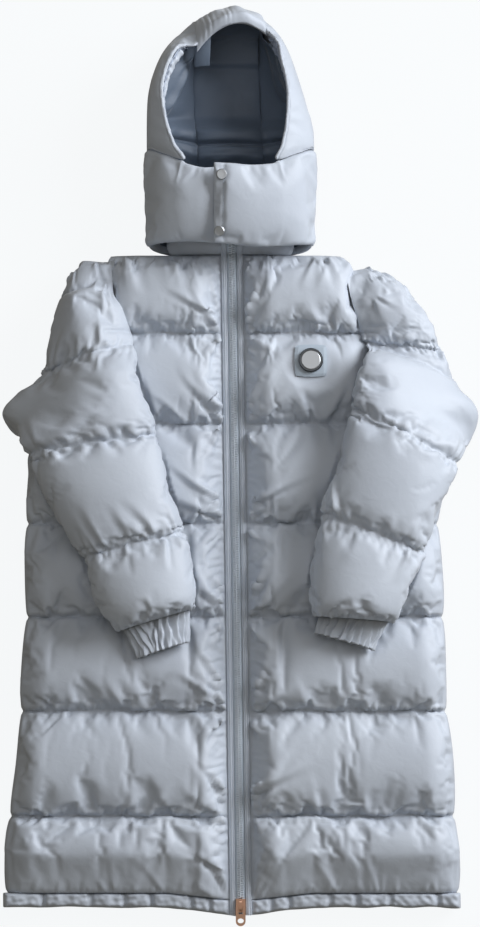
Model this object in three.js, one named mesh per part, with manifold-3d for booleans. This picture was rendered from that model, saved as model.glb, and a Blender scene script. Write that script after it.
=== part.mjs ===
// Long quilted puffer coat with a padded hood, laid flat on its back with both sleeves folded over the fronts.
// Millimetres. +X is the wearer's left, +Y runs from hem to hood, +Z is up from the surface it lies on.
// The origin lies on that surface, under the middle of the coat. "down" is the distance below the neck seam.
import * as THREE from "three";
import Module from "manifold-3d";

const wasm = await Module();
wasm.setup();

// Driving sizes
const PLY_GAP = 0.3; // between two pieces that touch
const NECK_Y = 298; // neck seam and shoulder line
const HEM_DOWN = 941; // neck seam to hem edge
const HEM_SEAM_DOWN = 920; // neck seam to the seam over the hem casing
const HEM_DIP = 12; // how much lower the hem hangs at the zip
const HEM_DIP_REACH = 104; // and how far to each side
const HEM_DIP_START = 760;
const INSIDE_AT_NECK = 30; // height of the plane where fronts lie on the back
const INSIDE_AT_HEM = 16;
const ZIP_X_AT_NECK = -12; // the zip leans a little to the wearer's left on its way down
const ZIP_X_AT_HEM = 1;
const ZIP_SEAT = 13.7; // padding under the zip
const QUILT_LIFT = 5; // how far a quilting line stands over the zip seat
const PUFF_LIFT = 27; // how far the crown of a baffle stands over its quilting lines
const CHANNEL_HALF = 16.5; // flat strip beside the zip
const ZIP_ROUND = 42; // width over which a baffle rises from that strip
const SIDE_ROUND = 46; // width over which a baffle falls to the side seam
const NECK_ROUND = 26; // the same at the shoulder line
const EDGE_THICK = 2.5; // cloth only, at a seamed edge
const NOTCH = 6; // how far a quilting line pulls the side seam in
const QUILT_DOWN = [0, 115, 247, 391, 526, 661, 811, HEM_SEAM_DOWN];
const BAFFLE_STEPS = [0, 0.08, 0.26, 0.5, 0.74, 0.92];

// Reach of the body from its middle line to each side seam, armholes included. right is the wearer's right.
const BODY_X = -10;
const OUTLINE = [
  { down: 0, right: 184, left: 162 },
  { down: 23, right: 186, left: 175 },
  { down: 64, right: 188, left: 183 },
  { down: 112, right: 196, left: 197 },
  { down: 150, right: 202, left: 204 },
  { down: 180, right: 208, left: 209 },
  { down: 216, right: 220, left: 220 },
  { down: 245, right: 240, left: 240 },
  { down: 267, right: 270, left: 270 },
  { down: 286, right: 295, left: 297 },
  { down: 320, right: 297, left: 305 },
  { down: 394, right: 302, left: 300 },
  { down: 510, right: 301, left: 306 },
  { down: 626, right: 307, left: 308 },
  { down: 731, right: 312, left: 317 },
  { down: 829, right: 326, left: 322 },
  { down: 887, right: 328, left: 326 },
  { down: HEM_DOWN, right: 329, left: 326 },
];

// Sleeve sections: the edge that lies on the front (inner) and the edge away from it (outer)
const SLEEVE_RIGHT = [
  { at: 0, innerX: -193, innerY: 289, outerX: -236, outerY: 294 },
  { at: 1, innerX: -187, innerY: 242, outerX: -252, outerY: 248 },
  { at: 2, innerX: -172, innerY: 201, outerX: -271, outerY: 201 },
  { at: 3, innerX: -157, innerY: 163, outerX: -293, outerY: 121 },
  { at: 4, innerX: -141, innerY: 104, outerX: -320, outerY: 94 },
  { at: 5, innerX: -126, innerY: 60, outerX: -342, outerY: 62 },
  { at: 6, innerX: -116, innerY: 28, outerX: -305, outerY: 1 },
  { at: 7, innerX: -98, innerY: -48, outerX: -275, outerY: -69 },
  { at: 8, innerX: -77, innerY: -111, outerX: -226, outerY: -148 },
  { at: 9, innerX: -64, innerY: -179, outerX: -207, outerY: -207 },
  { at: 10, innerX: -61, innerY: -218, outerX: -178, outerY: -253 },
];
const SLEEVE_LEFT = [
  { at: 0, innerX: 165, innerY: 276, outerX: 196, outerY: 284 },
  { at: 1, innerX: 170, innerY: 227, outerX: 240, outerY: 250 },
  { at: 2, innerX: 180, innerY: 195, outerX: 278, outerY: 201 },
  { at: 3, innerX: 186, innerY: 169, outerX: 296, outerY: 156 },
  { at: 4, innerX: 172, innerY: 126, outerX: 316, outerY: 105 },
  { at: 5, innerX: 164, innerY: 94, outerX: 343, outerY: 63 },
  { at: 6, innerX: 157, innerY: 68, outerX: 315, outerY: -13 },
  { at: 7, innerX: 136, innerY: -16, outerX: 291, outerY: -68 },
  { at: 8, innerX: 114, innerY: -83, outerX: 264, outerY: -142 },
  { at: 9, innerX: 97, innerY: -186, outerX: 238, outerY: -204 },
  { at: 10, innerX: 100, innerY: -230, outerX: 223, outerY: -239 },
];
const CUFF_END_RIGHT = { innerX: -68, innerY: -264, outerX: -152, outerY: -291 };
const CUFF_END_LEFT = { innerX: 102, innerY: -251, outerX: 196, outerY: -279 };
const SLEEVE_QUILT = [0, 3, 6, 8, 10];
const SLEEVE_STEPS = [0, 0.12, 0.36, 0.64, 0.88];
const SLEEVE_AROUND = 20;
const SLEEVE_PUFF = 74; // thickness at the crown of a sleeve baffle
const SLEEVE_PINCH = 54; // and at its quilting lines
const SLEEVE_END = 40; // and where the cuff is sewn on
const SLEEVE_CAP = 56; // and at the shoulder
const SLEEVE_SLIT = 1.6; // half the space between its two plies
const CUFF_GATHERS = 18;
const CUFF_THICK = 26;
const CUFF_DEPTH = 2.2; // height of one gather
const CUFF_SLIT = 1.4;
const CUFF_INSET = 0.05;

// Hood: seam to the crown strip, widest line, and free edge, for one side, from forehead to nape. middle is its
// middle line, lean is how far its left side lies up from there and its right side down, and bow is how far the
// crown strip bows out between its seams.
const HOOD_X = -14; // middle of the neck
const HOOD_WALL = 12;
const HOOD_SIDE = [
  {
    at: 0, middle: -11, lean: 10.5, bow: 28,
    seamY: 614, seamZ: 93, wideX: 50, wideY: 612, wideZ: 94, edgeX: 54, edgeY: 607, edgeZ: 95,
  },
  {
    at: 1, middle: -16, lean: 2, bow: 16,
    seamY: 644, seamZ: 54, wideX: 66, wideY: 622, wideZ: 66, edgeX: 74, edgeY: 598, edgeZ: 102,
  },
  {
    at: 2, middle: -21, lean: 0, bow: 8,
    seamY: 640, seamZ: 17, wideX: 86, wideY: 598, wideZ: 60, edgeX: 84, edgeY: 572, edgeZ: 109,
  },
  {
    at: 3, middle: -22, lean: 0, bow: 4,
    seamY: 604, seamZ: 1, wideX: 102, wideY: 553, wideZ: 57, edgeX: 93, edgeY: 533, edgeZ: 115,
  },
  {
    at: 4, middle: -20, lean: 0, bow: 0,
    seamY: 545, seamZ: 0, wideX: 114, wideY: 512, wideZ: 56, edgeX: 90, edgeY: 486, edgeZ: 120,
  },
  {
    at: 5, middle: -17, lean: 0, bow: 0,
    seamY: 492, seamZ: 0, wideX: 122, wideY: 484, wideZ: 55, edgeX: 80, edgeY: 446, edgeZ: 122,
  },
  {
    at: 6, middle: -14, lean: 0, bow: 0,
    seamY: 458, seamZ: 0, wideX: 128, wideY: 466, wideZ: 52, edgeX: 69, edgeY: 424, edgeZ: 121,
  },
  {
    at: 7, middle: -14, lean: 0, bow: 0,
    seamY: 436, seamZ: 0, wideX: 127, wideY: 452, wideZ: 44, edgeX: 98, edgeY: 437, edgeZ: 103,
  },
  {
    at: 8, middle: -14, lean: 0, bow: 0,
    seamY: 412, seamZ: 0, wideX: 122, wideY: 432, wideZ: 30, edgeX: 124, edgeY: 446, edgeZ: 68,
  },
  {
    at: 9, middle: -14, lean: 0, bow: 0,
    seamY: 360, seamZ: 0, wideX: 112, wideY: 382, wideZ: 20, edgeX: 126, edgeY: 396, edgeZ: 58,
  },
  {
    at: 10, middle: -14, lean: 0, bow: 0,
    seamY: 299, seamZ: 0, wideX: 102, wideY: 303, wideZ: 15, edgeX: 121, edgeY: 309, edgeZ: 50,
  },
];
const CROWN_HALF = 48;
const NECK_AXIS_Z = 52;
const OPENING_END = 6; // the row where the face opening ends and the chin flap begins
const CHIN_CORNER = 8; // the row where the chin flap's seam turns down the side of the neck
const CHIN_ACROSS = [0, 0.12, 0.35, 0.65, 0.88, 1];
const INSIDE_WALL = 1.6; // lining and facing
const INSIDE_GAP = 0.8;
const LINING_PUFF = 5;
const HOOD_QUILT = [0, 2, 4, 6, 8, 10];

// Chin flaps: top and bottom edge of each, from the side of the hood to its own front edge
const CHIN_UNDER = [
  { x: -124, topY: 444.5, topZ: 69, lowY: 309, lowZ: 51 },
  { x: -99, topY: 434, topZ: 104, lowY: 309, lowZ: 84 },
  { x: -69, topY: 420, topZ: 122, lowY: 309, lowZ: 97 },
  { x: -42, topY: 413, topZ: 123, lowY: 308, lowZ: 100 },
  { x: -22, topY: 414, topZ: 119, lowY: 307, lowZ: 97 },
  { x: 4, topY: 414, topZ: 118, lowY: 307, lowZ: 96 },
];
const CHIN_OVER = [
  { x: 124, topY: 444.5, topZ: 69, lowY: 312, lowZ: 51 },
  { x: 99, topY: 434, topZ: 104, lowY: 306, lowZ: 84 },
  { x: 69, topY: 420, topZ: 122, lowY: 302, lowZ: 97 },
  { x: 34, topY: 415, topZ: 131, lowY: 300, lowZ: 108 },
  { x: 4, topY: 416, topZ: 137, lowY: 302, lowZ: 114 },
  { x: -24, topY: 417, topZ: 140, lowY: 304, lowZ: 117 },
];
const CHIN_PUFF = 12;
const CHIN_WALL = 11;
const CHIN_EDGE_WALL = 4;
const CHIN_SEAM = new THREE.Vector3(0, -1.1, 0.9); // from the hood's edge to the flap's

// Stand collar: one ring for each row
const COLLAR = [
  { y: 298.4, top: 50, middle: 34, bottom: 15, half: 88 },
  { y: 309, top: 68, middle: 40, bottom: 15, half: 92 },
  { y: 330, top: 78, middle: 44, bottom: 15, half: 92 },
  { y: 356, top: 77, middle: 44, bottom: 15, half: 90 },
];
const COLLAR_WALL = 8;

// Zip: tape, chain and the stitched plackets beside it
const TAPE_HALF = 7;
const TAPE_THICK = 1.1;
const TAPE_CLIMB = 2.4;
const CHAIN_HALF = 4.3;
const CHAIN_THICK = 3.4;
const PLACKET_NEAR = TAPE_HALF + PLY_GAP;
const PLACKET_FAR = 15.6;
const PLACKET_THICK = 3;
const ZIP_END_Y = -654;
const ZIP_TOP_Y = 350;
const SLIDER = { y: -640, width: 13.6, nose: 9, length: 19, thick: 5 };
const BRIDGE = { width: 4, reach: 8, rise: 5.8, thick: 2, round: 3 };
const PULL = { half: 7, length: 29, thick: 2.4, eyeHalf: 3, eyeEnd: 12, holeY: 21.5, holeX: 4.4, holeHalf: 3.4 };

// Badge and press studs
const BADGE = { x: 102, y: 139, patch: 23.5, patchThick: 2.4, rim: 17.6, rimThick: 4.6, face: 14.4, dish: 1.8 };
const STUD = { radius: 7.8, thick: 3.2, face: 5, dish: 0.9 };
const STUDS = [
  { name: "stud_upper", at: 4.55, from: 0.12, to: 0.35, across: 0.16, lift: 0.4 },
  { name: "stud_lower", at: 4.65, from: 0.65, to: 0.88, across: 0.86, lift: 0.1 },
];

const PATCH_GAP = 0.7;
const PATCH_EDGE = 1;

// Materials
const CLOTH = new THREE.MeshStandardMaterial({ color: 0xb4bfcb, roughness: 0.42, metalness: 0 });
const LINING = new THREE.MeshStandardMaterial({ color: 0x8f9bb0, roughness: 0.5, metalness: 0 });
const TAPE = new THREE.MeshStandardMaterial({ color: 0xa3afbd, roughness: 0.8, metalness: 0 });
const TEETH = new THREE.MeshStandardMaterial({ color: 0xb9c2cc, roughness: 0.35, metalness: 0 });
const ROSE_GOLD = new THREE.MeshStandardMaterial({ color: 0xb98468, roughness: 0.28, metalness: 1 });
const RUBBER = new THREE.MeshStandardMaterial({ color: 0xaab4be, roughness: 0.55, metalness: 0 });
const GUNMETAL = new THREE.MeshStandardMaterial({ color: 0x55585a, roughness: 0.35, metalness: 1 });
const SATIN_METAL = new THREE.MeshStandardMaterial({ color: 0xc9c9c6, roughness: 0.38, metalness: 1 });

const clamp01 = (v) => Math.min(1, Math.max(0, v));
const mix = (a, b, t) => a + (b - a) * t;
const quarterRound = (v) => Math.sqrt(1 - (1 - clamp01(v)) ** 2);
const point = (x, y, z) => new THREE.Vector3(x, y, z);

function smoothStep(low, high, v) {
  const t = clamp01((v - low) / (high - low));
  return t * t * (3 - 2 * t);
}

// Reads one column of a table of sections at any place between its rows, along a smooth curve.
function read(table, by, name, place) {
  const last = table.length - 1;
  const next = table.findIndex((row) => row[by] > place);
  const i = next < 0 ? last - 1 : Math.max(next - 1, 0);
  const slope = (k) => {
    const before = table[Math.max(k - 1, 0)];
    const after = table[Math.min(k + 1, last)];
    return (after[name] - before[name]) / (after[by] - before[by]);
  };
  const span = table[i + 1][by] - table[i][by];
  const t = clamp01((place - table[i][by]) / span);
  const rise = table[i + 1][name] - table[i][name];
  const bend = slope(i) * span - rise;
  const bendBack = rise - slope(i + 1) * span;
  return table[i][name] + rise * t + t * (1 - t) * (bend * (1 - t) + bendBack * t);
}

// Places along a row of baffles: a quilting line, then steps over the padding, and so on to the last line.
function baffleSteps(lines, steps) {
  const places = [];
  for (let i = 0; i + 1 < lines.length; i++)
    for (const step of steps) places.push(mix(lines[i], lines[i + 1], step));
  places.push(lines[lines.length - 1]);
  return places;
}

// How full the padding is at a place: 0 on a quilting line and 1 on the crown of a baffle.
function fullness(lines, place) {
  let i = 0;
  while (i + 2 < lines.length && place > lines[i + 1]) i++;
  const t = clamp01((place - lines[i]) / (lines[i + 1] - lines[i]));
  return (1 - Math.abs(2 * t - 1) ** 2.6) ** (1 / 2);
}

// A closed geometry from points and triangles, turned so that its faces point out.
function closedGeometry(points, triangles) {
  let volume = 0;
  for (const [a, b, c] of triangles) volume += points[a].dot(points[b].clone().cross(points[c]));
  const index = triangles.flatMap(([a, b, c]) => (volume < 0 ? [a, c, b] : [a, b, c]));
  const geometry = new THREE.BufferGeometry().setFromPoints(points);
  geometry.setIndex(index);
  geometry.computeVertexNormals();
  return geometry;
}

// A wall between two grids of points with the same rows and columns. A tube's columns run all the way round.
function wall(outer, inner, tube = false) {
  const rows = outer.length;
  const columns = outer[0].length;
  const points = [...outer.flat(), ...inner.flat()];
  const triangles = [];
  const at = (side, r, c) => side * rows * columns + r * columns + (c % columns);
  const quad = (a, b, c, d) => triangles.push([a, b, c], [a, c, d]);
  const across = tube ? columns : columns - 1;
  for (let r = 0; r + 1 < rows; r++)
    for (let c = 0; c < across; c++) {
      quad(at(0, r, c), at(0, r + 1, c), at(0, r + 1, c + 1), at(0, r, c + 1));
      quad(at(1, r, c), at(1, r, c + 1), at(1, r + 1, c + 1), at(1, r + 1, c));
    }
  for (let c = 0; c < across; c++) {
    quad(at(0, 0, c), at(0, 0, c + 1), at(1, 0, c + 1), at(1, 0, c));
    quad(at(0, rows - 1, c), at(1, rows - 1, c), at(1, rows - 1, c + 1), at(0, rows - 1, c + 1));
  }
  if (!tube)
    for (let r = 0; r + 1 < rows; r++) {
      quad(at(0, r, 0), at(1, r, 0), at(1, r + 1, 0), at(0, r + 1, 0));
      quad(at(0, r, columns - 1), at(0, r + 1, columns - 1), at(1, r + 1, columns - 1), at(1, r, columns - 1));
    }
  return closedGeometry(points, triangles);
}

// A padded panel: a grid of outer points over a plain inside, which is one flat polygon at height(x, y).
function padded(grid, height) {
  const rows = grid.length;
  const columns = grid[0].length;
  const at = (r, c) => r * columns + c;
  const border = [];
  for (let c = 0; c < columns; c++) border.push(at(0, c));
  for (let r = 1; r < rows; r++) border.push(at(r, columns - 1));
  for (let c = columns - 2; c >= 0; c--) border.push(at(rows - 1, c));
  for (let r = rows - 2; r > 0; r--) border.push(at(r, 0));
  const points = grid.flat();
  const triangles = [];
  for (let r = 0; r + 1 < rows; r++)
    for (let c = 0; c + 1 < columns; c++) {
      triangles.push([at(r, c), at(r + 1, c), at(r + 1, c + 1)]);
      triangles.push([at(r, c), at(r + 1, c + 1), at(r, c + 1)]);
    }
  const first = points.length;
  for (const i of border) points.push(point(points[i].x, points[i].y, height(points[i].x, points[i].y)));
  border.forEach((a, i) => {
    const j = (i + 1) % border.length;
    triangles.push([a, border[j], first + j], [a, first + j, first + i]);
  });
  const outline = border.map((i) => new THREE.Vector2(points[i].x, points[i].y));
  for (const [a, b, c] of THREE.ShapeUtils.triangulateShape(outline, []))
    triangles.push([first + a, first + b, first + c]);
  return closedGeometry(points, orient(points, triangles));
}

// Gives all triangles of a closed surface one winding, spreading out from the first triangle.
function orient(points, triangles) {
  const owners = new Map();
  const key = (a, b) => Math.min(a, b) * points.length + Math.max(a, b);
  triangles.forEach(([a, b, c], i) => {
    for (const edge of [key(a, b), key(b, c), key(c, a)]) owners.set(edge, [...(owners.get(edge) ?? []), i]);
  });
  const runs = ([a, b, c], from, to) => [[a, b], [b, c], [c, a]].some(([p, q]) => p === from && q === to);
  const done = new Set([0]);
  const queue = [0];
  while (queue.length) {
    const t = triangles[queue.pop()];
    for (const [from, to] of [[t[0], t[1]], [t[1], t[2]], [t[2], t[0]]])
      for (const other of owners.get(key(from, to)))
        if (!done.has(other)) {
          if (runs(triangles[other], from, to)) triangles[other].reverse();
          done.add(other);
          queue.push(other);
        }
  }
  return triangles;
}

// Body
const zipX = (y) => mix(ZIP_X_AT_NECK, ZIP_X_AT_HEM, (NECK_Y - y) / HEM_DOWN);
const insideZ = (y) => mix(INSIDE_AT_NECK, INSIDE_AT_HEM, (NECK_Y - y) / HEM_DOWN);
const halfWidth = (side, down) => read(OUTLINE, "down", side < 0 ? "right" : "left", down);
const CROWN_LIFT = ZIP_SEAT + QUILT_LIFT + PUFF_LIFT;

// The hem hangs lower near the zip.
function dipped(x, down) {
  const nearZip = 1 - clamp01(Math.abs(x - zipX(NECK_Y - down)) / HEM_DIP_REACH);
  return NECK_Y - down - HEM_DIP * nearZip * smoothStep(HEM_DIP_START, HEM_DOWN, down);
}

// Distances across a front from the zip line to the side seam, closer together where the padding rounds over.
function acrossFront(reach) {
  const nearZip = [CHANNEL_HALF, CHANNEL_HALF + 4, CHANNEL_HALF + 15, CHANNEL_HALF + ZIP_ROUND];
  const nearSide = [SIDE_ROUND, 22, 8, 1.5, 0].map((inset) => reach - inset);
  return [PLY_GAP / 2, ...nearZip, HEM_DIP_REACH, (HEM_DIP_REACH + nearSide[0]) / 2, ...nearSide];
}

// Height of a front's outer surface over its inside, at a distance from the zip line.
function frontLift(away, reach, down) {
  const full = fullness(QUILT_DOWN, down);
  const rise = quarterRound((away - CHANNEL_HALF) / ZIP_ROUND);
  const fall = quarterRound((reach - away) / SIDE_ROUND);
  const neck = mix(0.5, 1, quarterRound(down / NECK_ROUND));
  const puff = QUILT_LIFT + PUFF_LIFT * Math.max(full, 0.4 * (1 - down / NECK_ROUND));
  return Math.max(EDGE_THICK, (ZIP_SEAT + rise * puff * neck) * fall * mix(1, neck, rise));
}

function frontReach(side, down) {
  const pulled = NOTCH * (1 - fullness(QUILT_DOWN, down));
  return halfWidth(side, down) + side * (BODY_X - zipX(NECK_Y - down)) - pulled;
}

function frontPanel(side) {
  const rows = baffleSteps(QUILT_DOWN, BAFFLE_STEPS).map((down) => {
    const y = NECK_Y - down;
    const reach = frontReach(side, down);
    return acrossFront(reach).map((away) => {
      const x = zipX(y) + side * away;
      return point(x, dipped(x, down), insideZ(y) + PLY_GAP + frontLift(away, reach, down));
    });
  });
  return padded(rows, (x, y) => insideZ(y) + PLY_GAP);
}

// The back lies on the surface: its underside is flat and rounds up to the seams all round.
function backPanel() {
  const rows = baffleSteps(QUILT_DOWN, BAFFLE_STEPS).map((down) => {
    const full = fullness(QUILT_DOWN, down);
    const y = NECK_Y - down;
    const reach = (side) => halfWidth(side, down) - NOTCH * (1 - full);
    const insets = [0, 2, 9, 24, SIDE_ROUND];
    const kinks = [-HEM_DIP_REACH, 0, HEM_DIP_REACH].map((kink) => zipX(y) + kink);
    const right = insets.map((inset) => BODY_X - reach(-1) + inset);
    const left = insets.map((inset) => BODY_X + reach(1) - inset).reverse();
    return [...right, ...kinks, ...left].map((x) => {
      const round = quarterRound((reach(x < BODY_X ? -1 : 1) - Math.abs(x - BODY_X)) / SIDE_ROUND);
      const neck = quarterRound(down / NECK_ROUND);
      const thick = Math.max(EDGE_THICK, insideZ(y) * round * mix(0.55, 1, neck));
      return point(x, dipped(x, down), insideZ(y) - thick);
    });
  });
  return padded(rows, (x, y) => insideZ(y));
}

// Hem casing: a narrow padded band with small tucks, one for each front and one for the back
const HEM_TUCKS = [44, 70, 128, 166, 214, 282];
const TUCK_HALF = 5;
const TUCK_SHARE = 0.45;
const CASING_THICK = 20;
const CASING_ROUND = [0, 0.12, 0.5, 0.88, 1];

function tucked(away) {
  const nearest = Math.min(...HEM_TUCKS.map((tuck) => Math.abs(away - tuck)));
  return nearest >= TUCK_HALF ? 1 : mix(TUCK_SHARE, 1, nearest / TUCK_HALF);
}

// One side of the casing: rows of points from the zip line out to the side seam.
function casing(side, near, thickness, seat) {
  const reach = halfWidth(side, HEM_DOWN) + side * (BODY_X - ZIP_X_AT_HEM);
  const flat = seat ? [CHANNEL_HALF, CHANNEL_HALF + 6] : [];
  const tucks = HEM_TUCKS.flatMap((tuck) => [tuck - TUCK_HALF, tuck, tuck + TUCK_HALF]);
  return [near, ...flat, ...tucks, HEM_DIP_REACH, reach - 8, reach].sort((a, b) => a - b).map((away) =>
    CASING_ROUND.map((v) => {
      const down = mix(HEM_SEAM_DOWN + PLY_GAP, HEM_DOWN, v);
      const x = zipX(NECK_Y - down) + side * away;
      const round = Math.sqrt(1 - (2 * v - 1) ** 2);
      const end = quarterRound((reach - away) / 8);
      const padding = Math.max(EDGE_THICK, thickness * mix(0.35, 1, round) * tucked(away) * mix(0.3, 1, end));
      const thick = away <= CHANNEL_HALF && seat ? seat : padding;
      return { x, y: dipped(x, down), thick };
    }),
  );
}

function hemFront(side) {
  const rows = casing(side, PLY_GAP / 2, CASING_THICK, ZIP_SEAT).map((row) =>
    row.map((p) => point(p.x, p.y, insideZ(p.y) + PLY_GAP + p.thick)),
  );
  return padded(rows, (x, y) => insideZ(y) + PLY_GAP);
}

function hemBack() {
  const right = casing(-1, TUCK_HALF, INSIDE_AT_HEM, 0).reverse();
  const middle = casing(1, 0, INSIDE_AT_HEM, 0);
  const rows = [...right, ...middle].map((row) => row.map((p) => point(p.x, p.y, insideZ(p.y) - p.thick)));
  return padded(rows, (x, y) => insideZ(y));
}

// Sleeves
// How far a place lies inside the body's side edge. It is negative beside the body.
const insetAt = (x, y) => halfWidth(x - BODY_X, clamp01((NECK_Y - y) / HEM_DOWN) * HEM_DOWN) - Math.abs(x - BODY_X);

// Height of what a sleeve lies on: the front's crowns, then the surface outside the side seam
function support(x, y, outside, within) {
  return (insideZ(Math.min(y, NECK_Y)) + CROWN_LIFT + 2 * PLY_GAP) * smoothStep(-outside, within, insetAt(x, y));
}
// Width of the slope beside the side seam, outside and inside it: for a sleeve's underside and its upper side,
// where it lies beside the body (at the armhole) and where it lies over the front
const SLOPES = {
  under: { beside: [6, 8], over: [58, -12] },
  upper: { beside: [6, 8], over: [100, 45] },
};
const LEAST_SLEEVE = 15;
const EDGE_SHARE = { beside: 0.52, over: 0.34 }; // share of a sleeve's thickness below its edges
const ARMHOLE_GAP = 1.1;
const FOLD_OVER = [4, 22]; // inset over which a sleeve's inner edge climbs from the armhole onto the front

// One ring of a sleeve, from its inner edge over the top to its outer edge and back underneath.
function sleeveRing(section, thickness, around, slit) {
  const ring = { outer: [], inner: [] };
  const slope = (side) => [0, 1].map((i) => mix(SLOPES[side].beside[i], SLOPES[side].over[i], section.over));
  const under = slope("under");
  const upper = slope("upper");
  const edge = mix(EDGE_SHARE.beside, EDGE_SHARE.over, section.over);
  const place = (share, up) => {
    const x = mix(section.innerX, section.outerX, share);
    const y = mix(section.innerY, section.outerY, share);
    const tall = Math.max(LEAST_SLEEVE, thickness + support(x, y, ...upper) - support(x, y, ...under));
    return point(x, y, support(x, y, ...under) + PLY_GAP + tall * up);
  };
  for (let i = 0; i < around; i++) {
    const turn = (2 * Math.PI * i) / around;
    const share = (1 - Math.cos(turn)) / 2;
    const round = Math.abs(Math.sin(turn));
    const above = turn < Math.PI;
    ring.outer.push(place(share, above ? edge + (1 - edge) * round ** 0.85 : edge - edge * round ** 0.5));
    const inside = place(mix(0.5, share, 0.82), edge + 0.2 * (1 - edge) * round);
    inside.z += slit * (above ? 1 : -1) * round;
    ring.inner.push(inside);
  }
  return ring;
}

// A section of a sleeve. Its inner edge keeps to the body's side until it folds over the front.
function sleeveSection(table, at) {
  const section = {};
  for (const name of ["innerX", "innerY", "outerX", "outerY"]) section[name] = read(table, "at", name, at);
  const inset = insetAt(section.innerX, section.innerY);
  section.over = smoothStep(...FOLD_OVER, inset);
  section.innerX += Math.sign(section.innerX) * (inset + ARMHOLE_GAP) * (1 - section.over);
  const pinch = (NOTCH * (1 - fullness(SLEEVE_QUILT, at))) / Math.abs(section.outerX - section.innerX);
  return narrowed(section, pinch * (section.over > 0 ? 1 : 0), pinch);
}

function narrowed(section, inner, outer) {
  return {
    over: section.over,
    innerX: mix(section.innerX, section.outerX, inner),
    innerY: mix(section.innerY, section.outerY, inner),
    outerX: mix(section.outerX, section.innerX, outer),
    outerY: mix(section.outerY, section.innerY, outer),
  };
}

function sleeve(table) {
  const rings = baffleSteps(SLEEVE_QUILT, SLEEVE_STEPS).map((at) => {
    const least = at < 9 ? mix(SLEEVE_CAP, SLEEVE_PINCH, Math.min(at, 1)) : mix(SLEEVE_PINCH, SLEEVE_END, at - 9);
    const thickness = mix(least, SLEEVE_PUFF, fullness(SLEEVE_QUILT, at));
    return sleeveRing(sleeveSection(table, at), thickness, SLEEVE_AROUND, SLEEVE_SLIT);
  });
  return wall(rings.map((ring) => ring.outer), rings.map((ring) => ring.inner), true);
}

// Elastic cuff: a short flattened tube whose outside is gathered all round
function cuff(table, end) {
  const start = sleeveSection(table, 10);
  const around = CUFF_GATHERS * 2;
  const rings = [0.008, 0.3, 0.75, 1].map((t) => {
    const section = { over: 1 };
    for (const name of Object.keys(end)) section[name] = mix(start[name], end[name], t);
    const slim = narrowed(section, CUFF_INSET, CUFF_INSET);
    const ring = sleeveRing(slim, CUFF_THICK, around, CUFF_SLIT);
    const middle = ring.outer.reduce((sum, p) => sum.add(p), point(0, 0, 0)).divideScalar(around);
    ring.outer.forEach((p, i) => {
      const away = p.clone().sub(middle).normalize();
      if (i % 2) p.addScaledVector(away, -CUFF_DEPTH * (away.z > -0.2 ? 1 : 0));
    });
    return ring;
  });
  return wall(rings.map((ring) => ring.outer), rings.map((ring) => ring.inner), true);
}

// Hood
const hoodRow = (at) => {
  const row = {};
  for (const name of Object.keys(HOOD_SIDE[0])) row[name] = read(HOOD_SIDE, "at", name, at);
  return row;
};

// A point of the hood's outside: share 0 on the seam to the crown strip and 1 on the free edge.
function hoodPoint(side, at, share) {
  const row = hoodRow(at);
  const across = (x) => row.middle + side * x;
  const up = side * row.lean;
  const seam = point(across(CROWN_HALF + PLY_GAP), row.seamY + up, row.seamZ);
  const wide = point(across(row.wideX), row.wideY + up, row.wideZ);
  const edge = point(across(row.edgeX), row.edgeY + up, row.edgeZ);
  const bend = wide.clone().multiplyScalar(2).addScaledVector(seam, -0.5).addScaledVector(edge, -0.5);
  const place = new THREE.QuadraticBezierCurve3(seam, bend, edge).getPoint(share);
  return place.setZ(Math.max(place.z, 0));
}

// Keeps a point inside the hood's side clear of the crown strip.
function besideCrown(side, at, p) {
  const { middle } = hoodRow(at);
  return middle + side * Math.max(side * (p.x - middle), CROWN_HALF + PLY_GAP);
}

// The direction from a point of the neck towards the middle of the neck.
const toNeckAxis = (p) => point(HOOD_X, p.y, NECK_AXIS_Z).sub(p).normalize();

// The direction into the hood from that point.
function hoodInward(side, at, share) {
  const step = 0.02;
  const u = hoodPoint(side, Math.min(at + step, 10), share).sub(hoodPoint(side, Math.max(at - step, 0), share));
  const v = hoodPoint(side, at, Math.min(share + step, 1)).sub(hoodPoint(side, at, Math.max(share - step, 0)));
  const inward = u.cross(v).normalize();
  return side > 0 ? inward : inward.negate();
}

const HOOD_ROWS = [0, 0.5, 1, 1.5, 2, 2.5, 3, 3.5, 4, 4.5, 5, 5.5, 6, 6.5, 7, 7.5];
HOOD_ROWS.push(...CHIN_ACROSS.map((v) => mix(CHIN_CORNER, 10, v)));
const HOOD_SHARES = [0, 0.12, 0.27, 0.42, 0.58, 0.74, 0.88, 1];
const taper = (at) => smoothStep(-1, 1.4, at);
const hoodWall = (at, share) => HOOD_WALL * taper(at) * mix(1, 0.45, Math.abs(2 * share - 1) ** 3);

function hoodSide(side) {
  const outer = HOOD_ROWS.map((at) => HOOD_SHARES.map((share) => hoodPoint(side, at, share)));
  const inner = HOOD_ROWS.map((at, r) =>
    HOOD_SHARES.map((share, c) => {
      const inward = hoodInward(side, at, share);
      if (c === 0) inward.setX(0).normalize();
      if (share > 0.5 && at >= OPENING_END) inward.copy(toNeckAxis(outer[r][c]));
      const p = outer[r][c].clone().addScaledVector(inward, hoodWall(at, share));
      return point(besideCrown(side, at, p), p.y, Math.max(p.z, EDGE_THICK));
    }),
  );
  return wall(outer, inner);
}

// Crown strip from the forehead over the top of the hood and along the surface to the nape, and its lining
const crownWall = (at, share) => HOOD_WALL * taper(at) * mix(1, 0.6, share ** 4);

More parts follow.
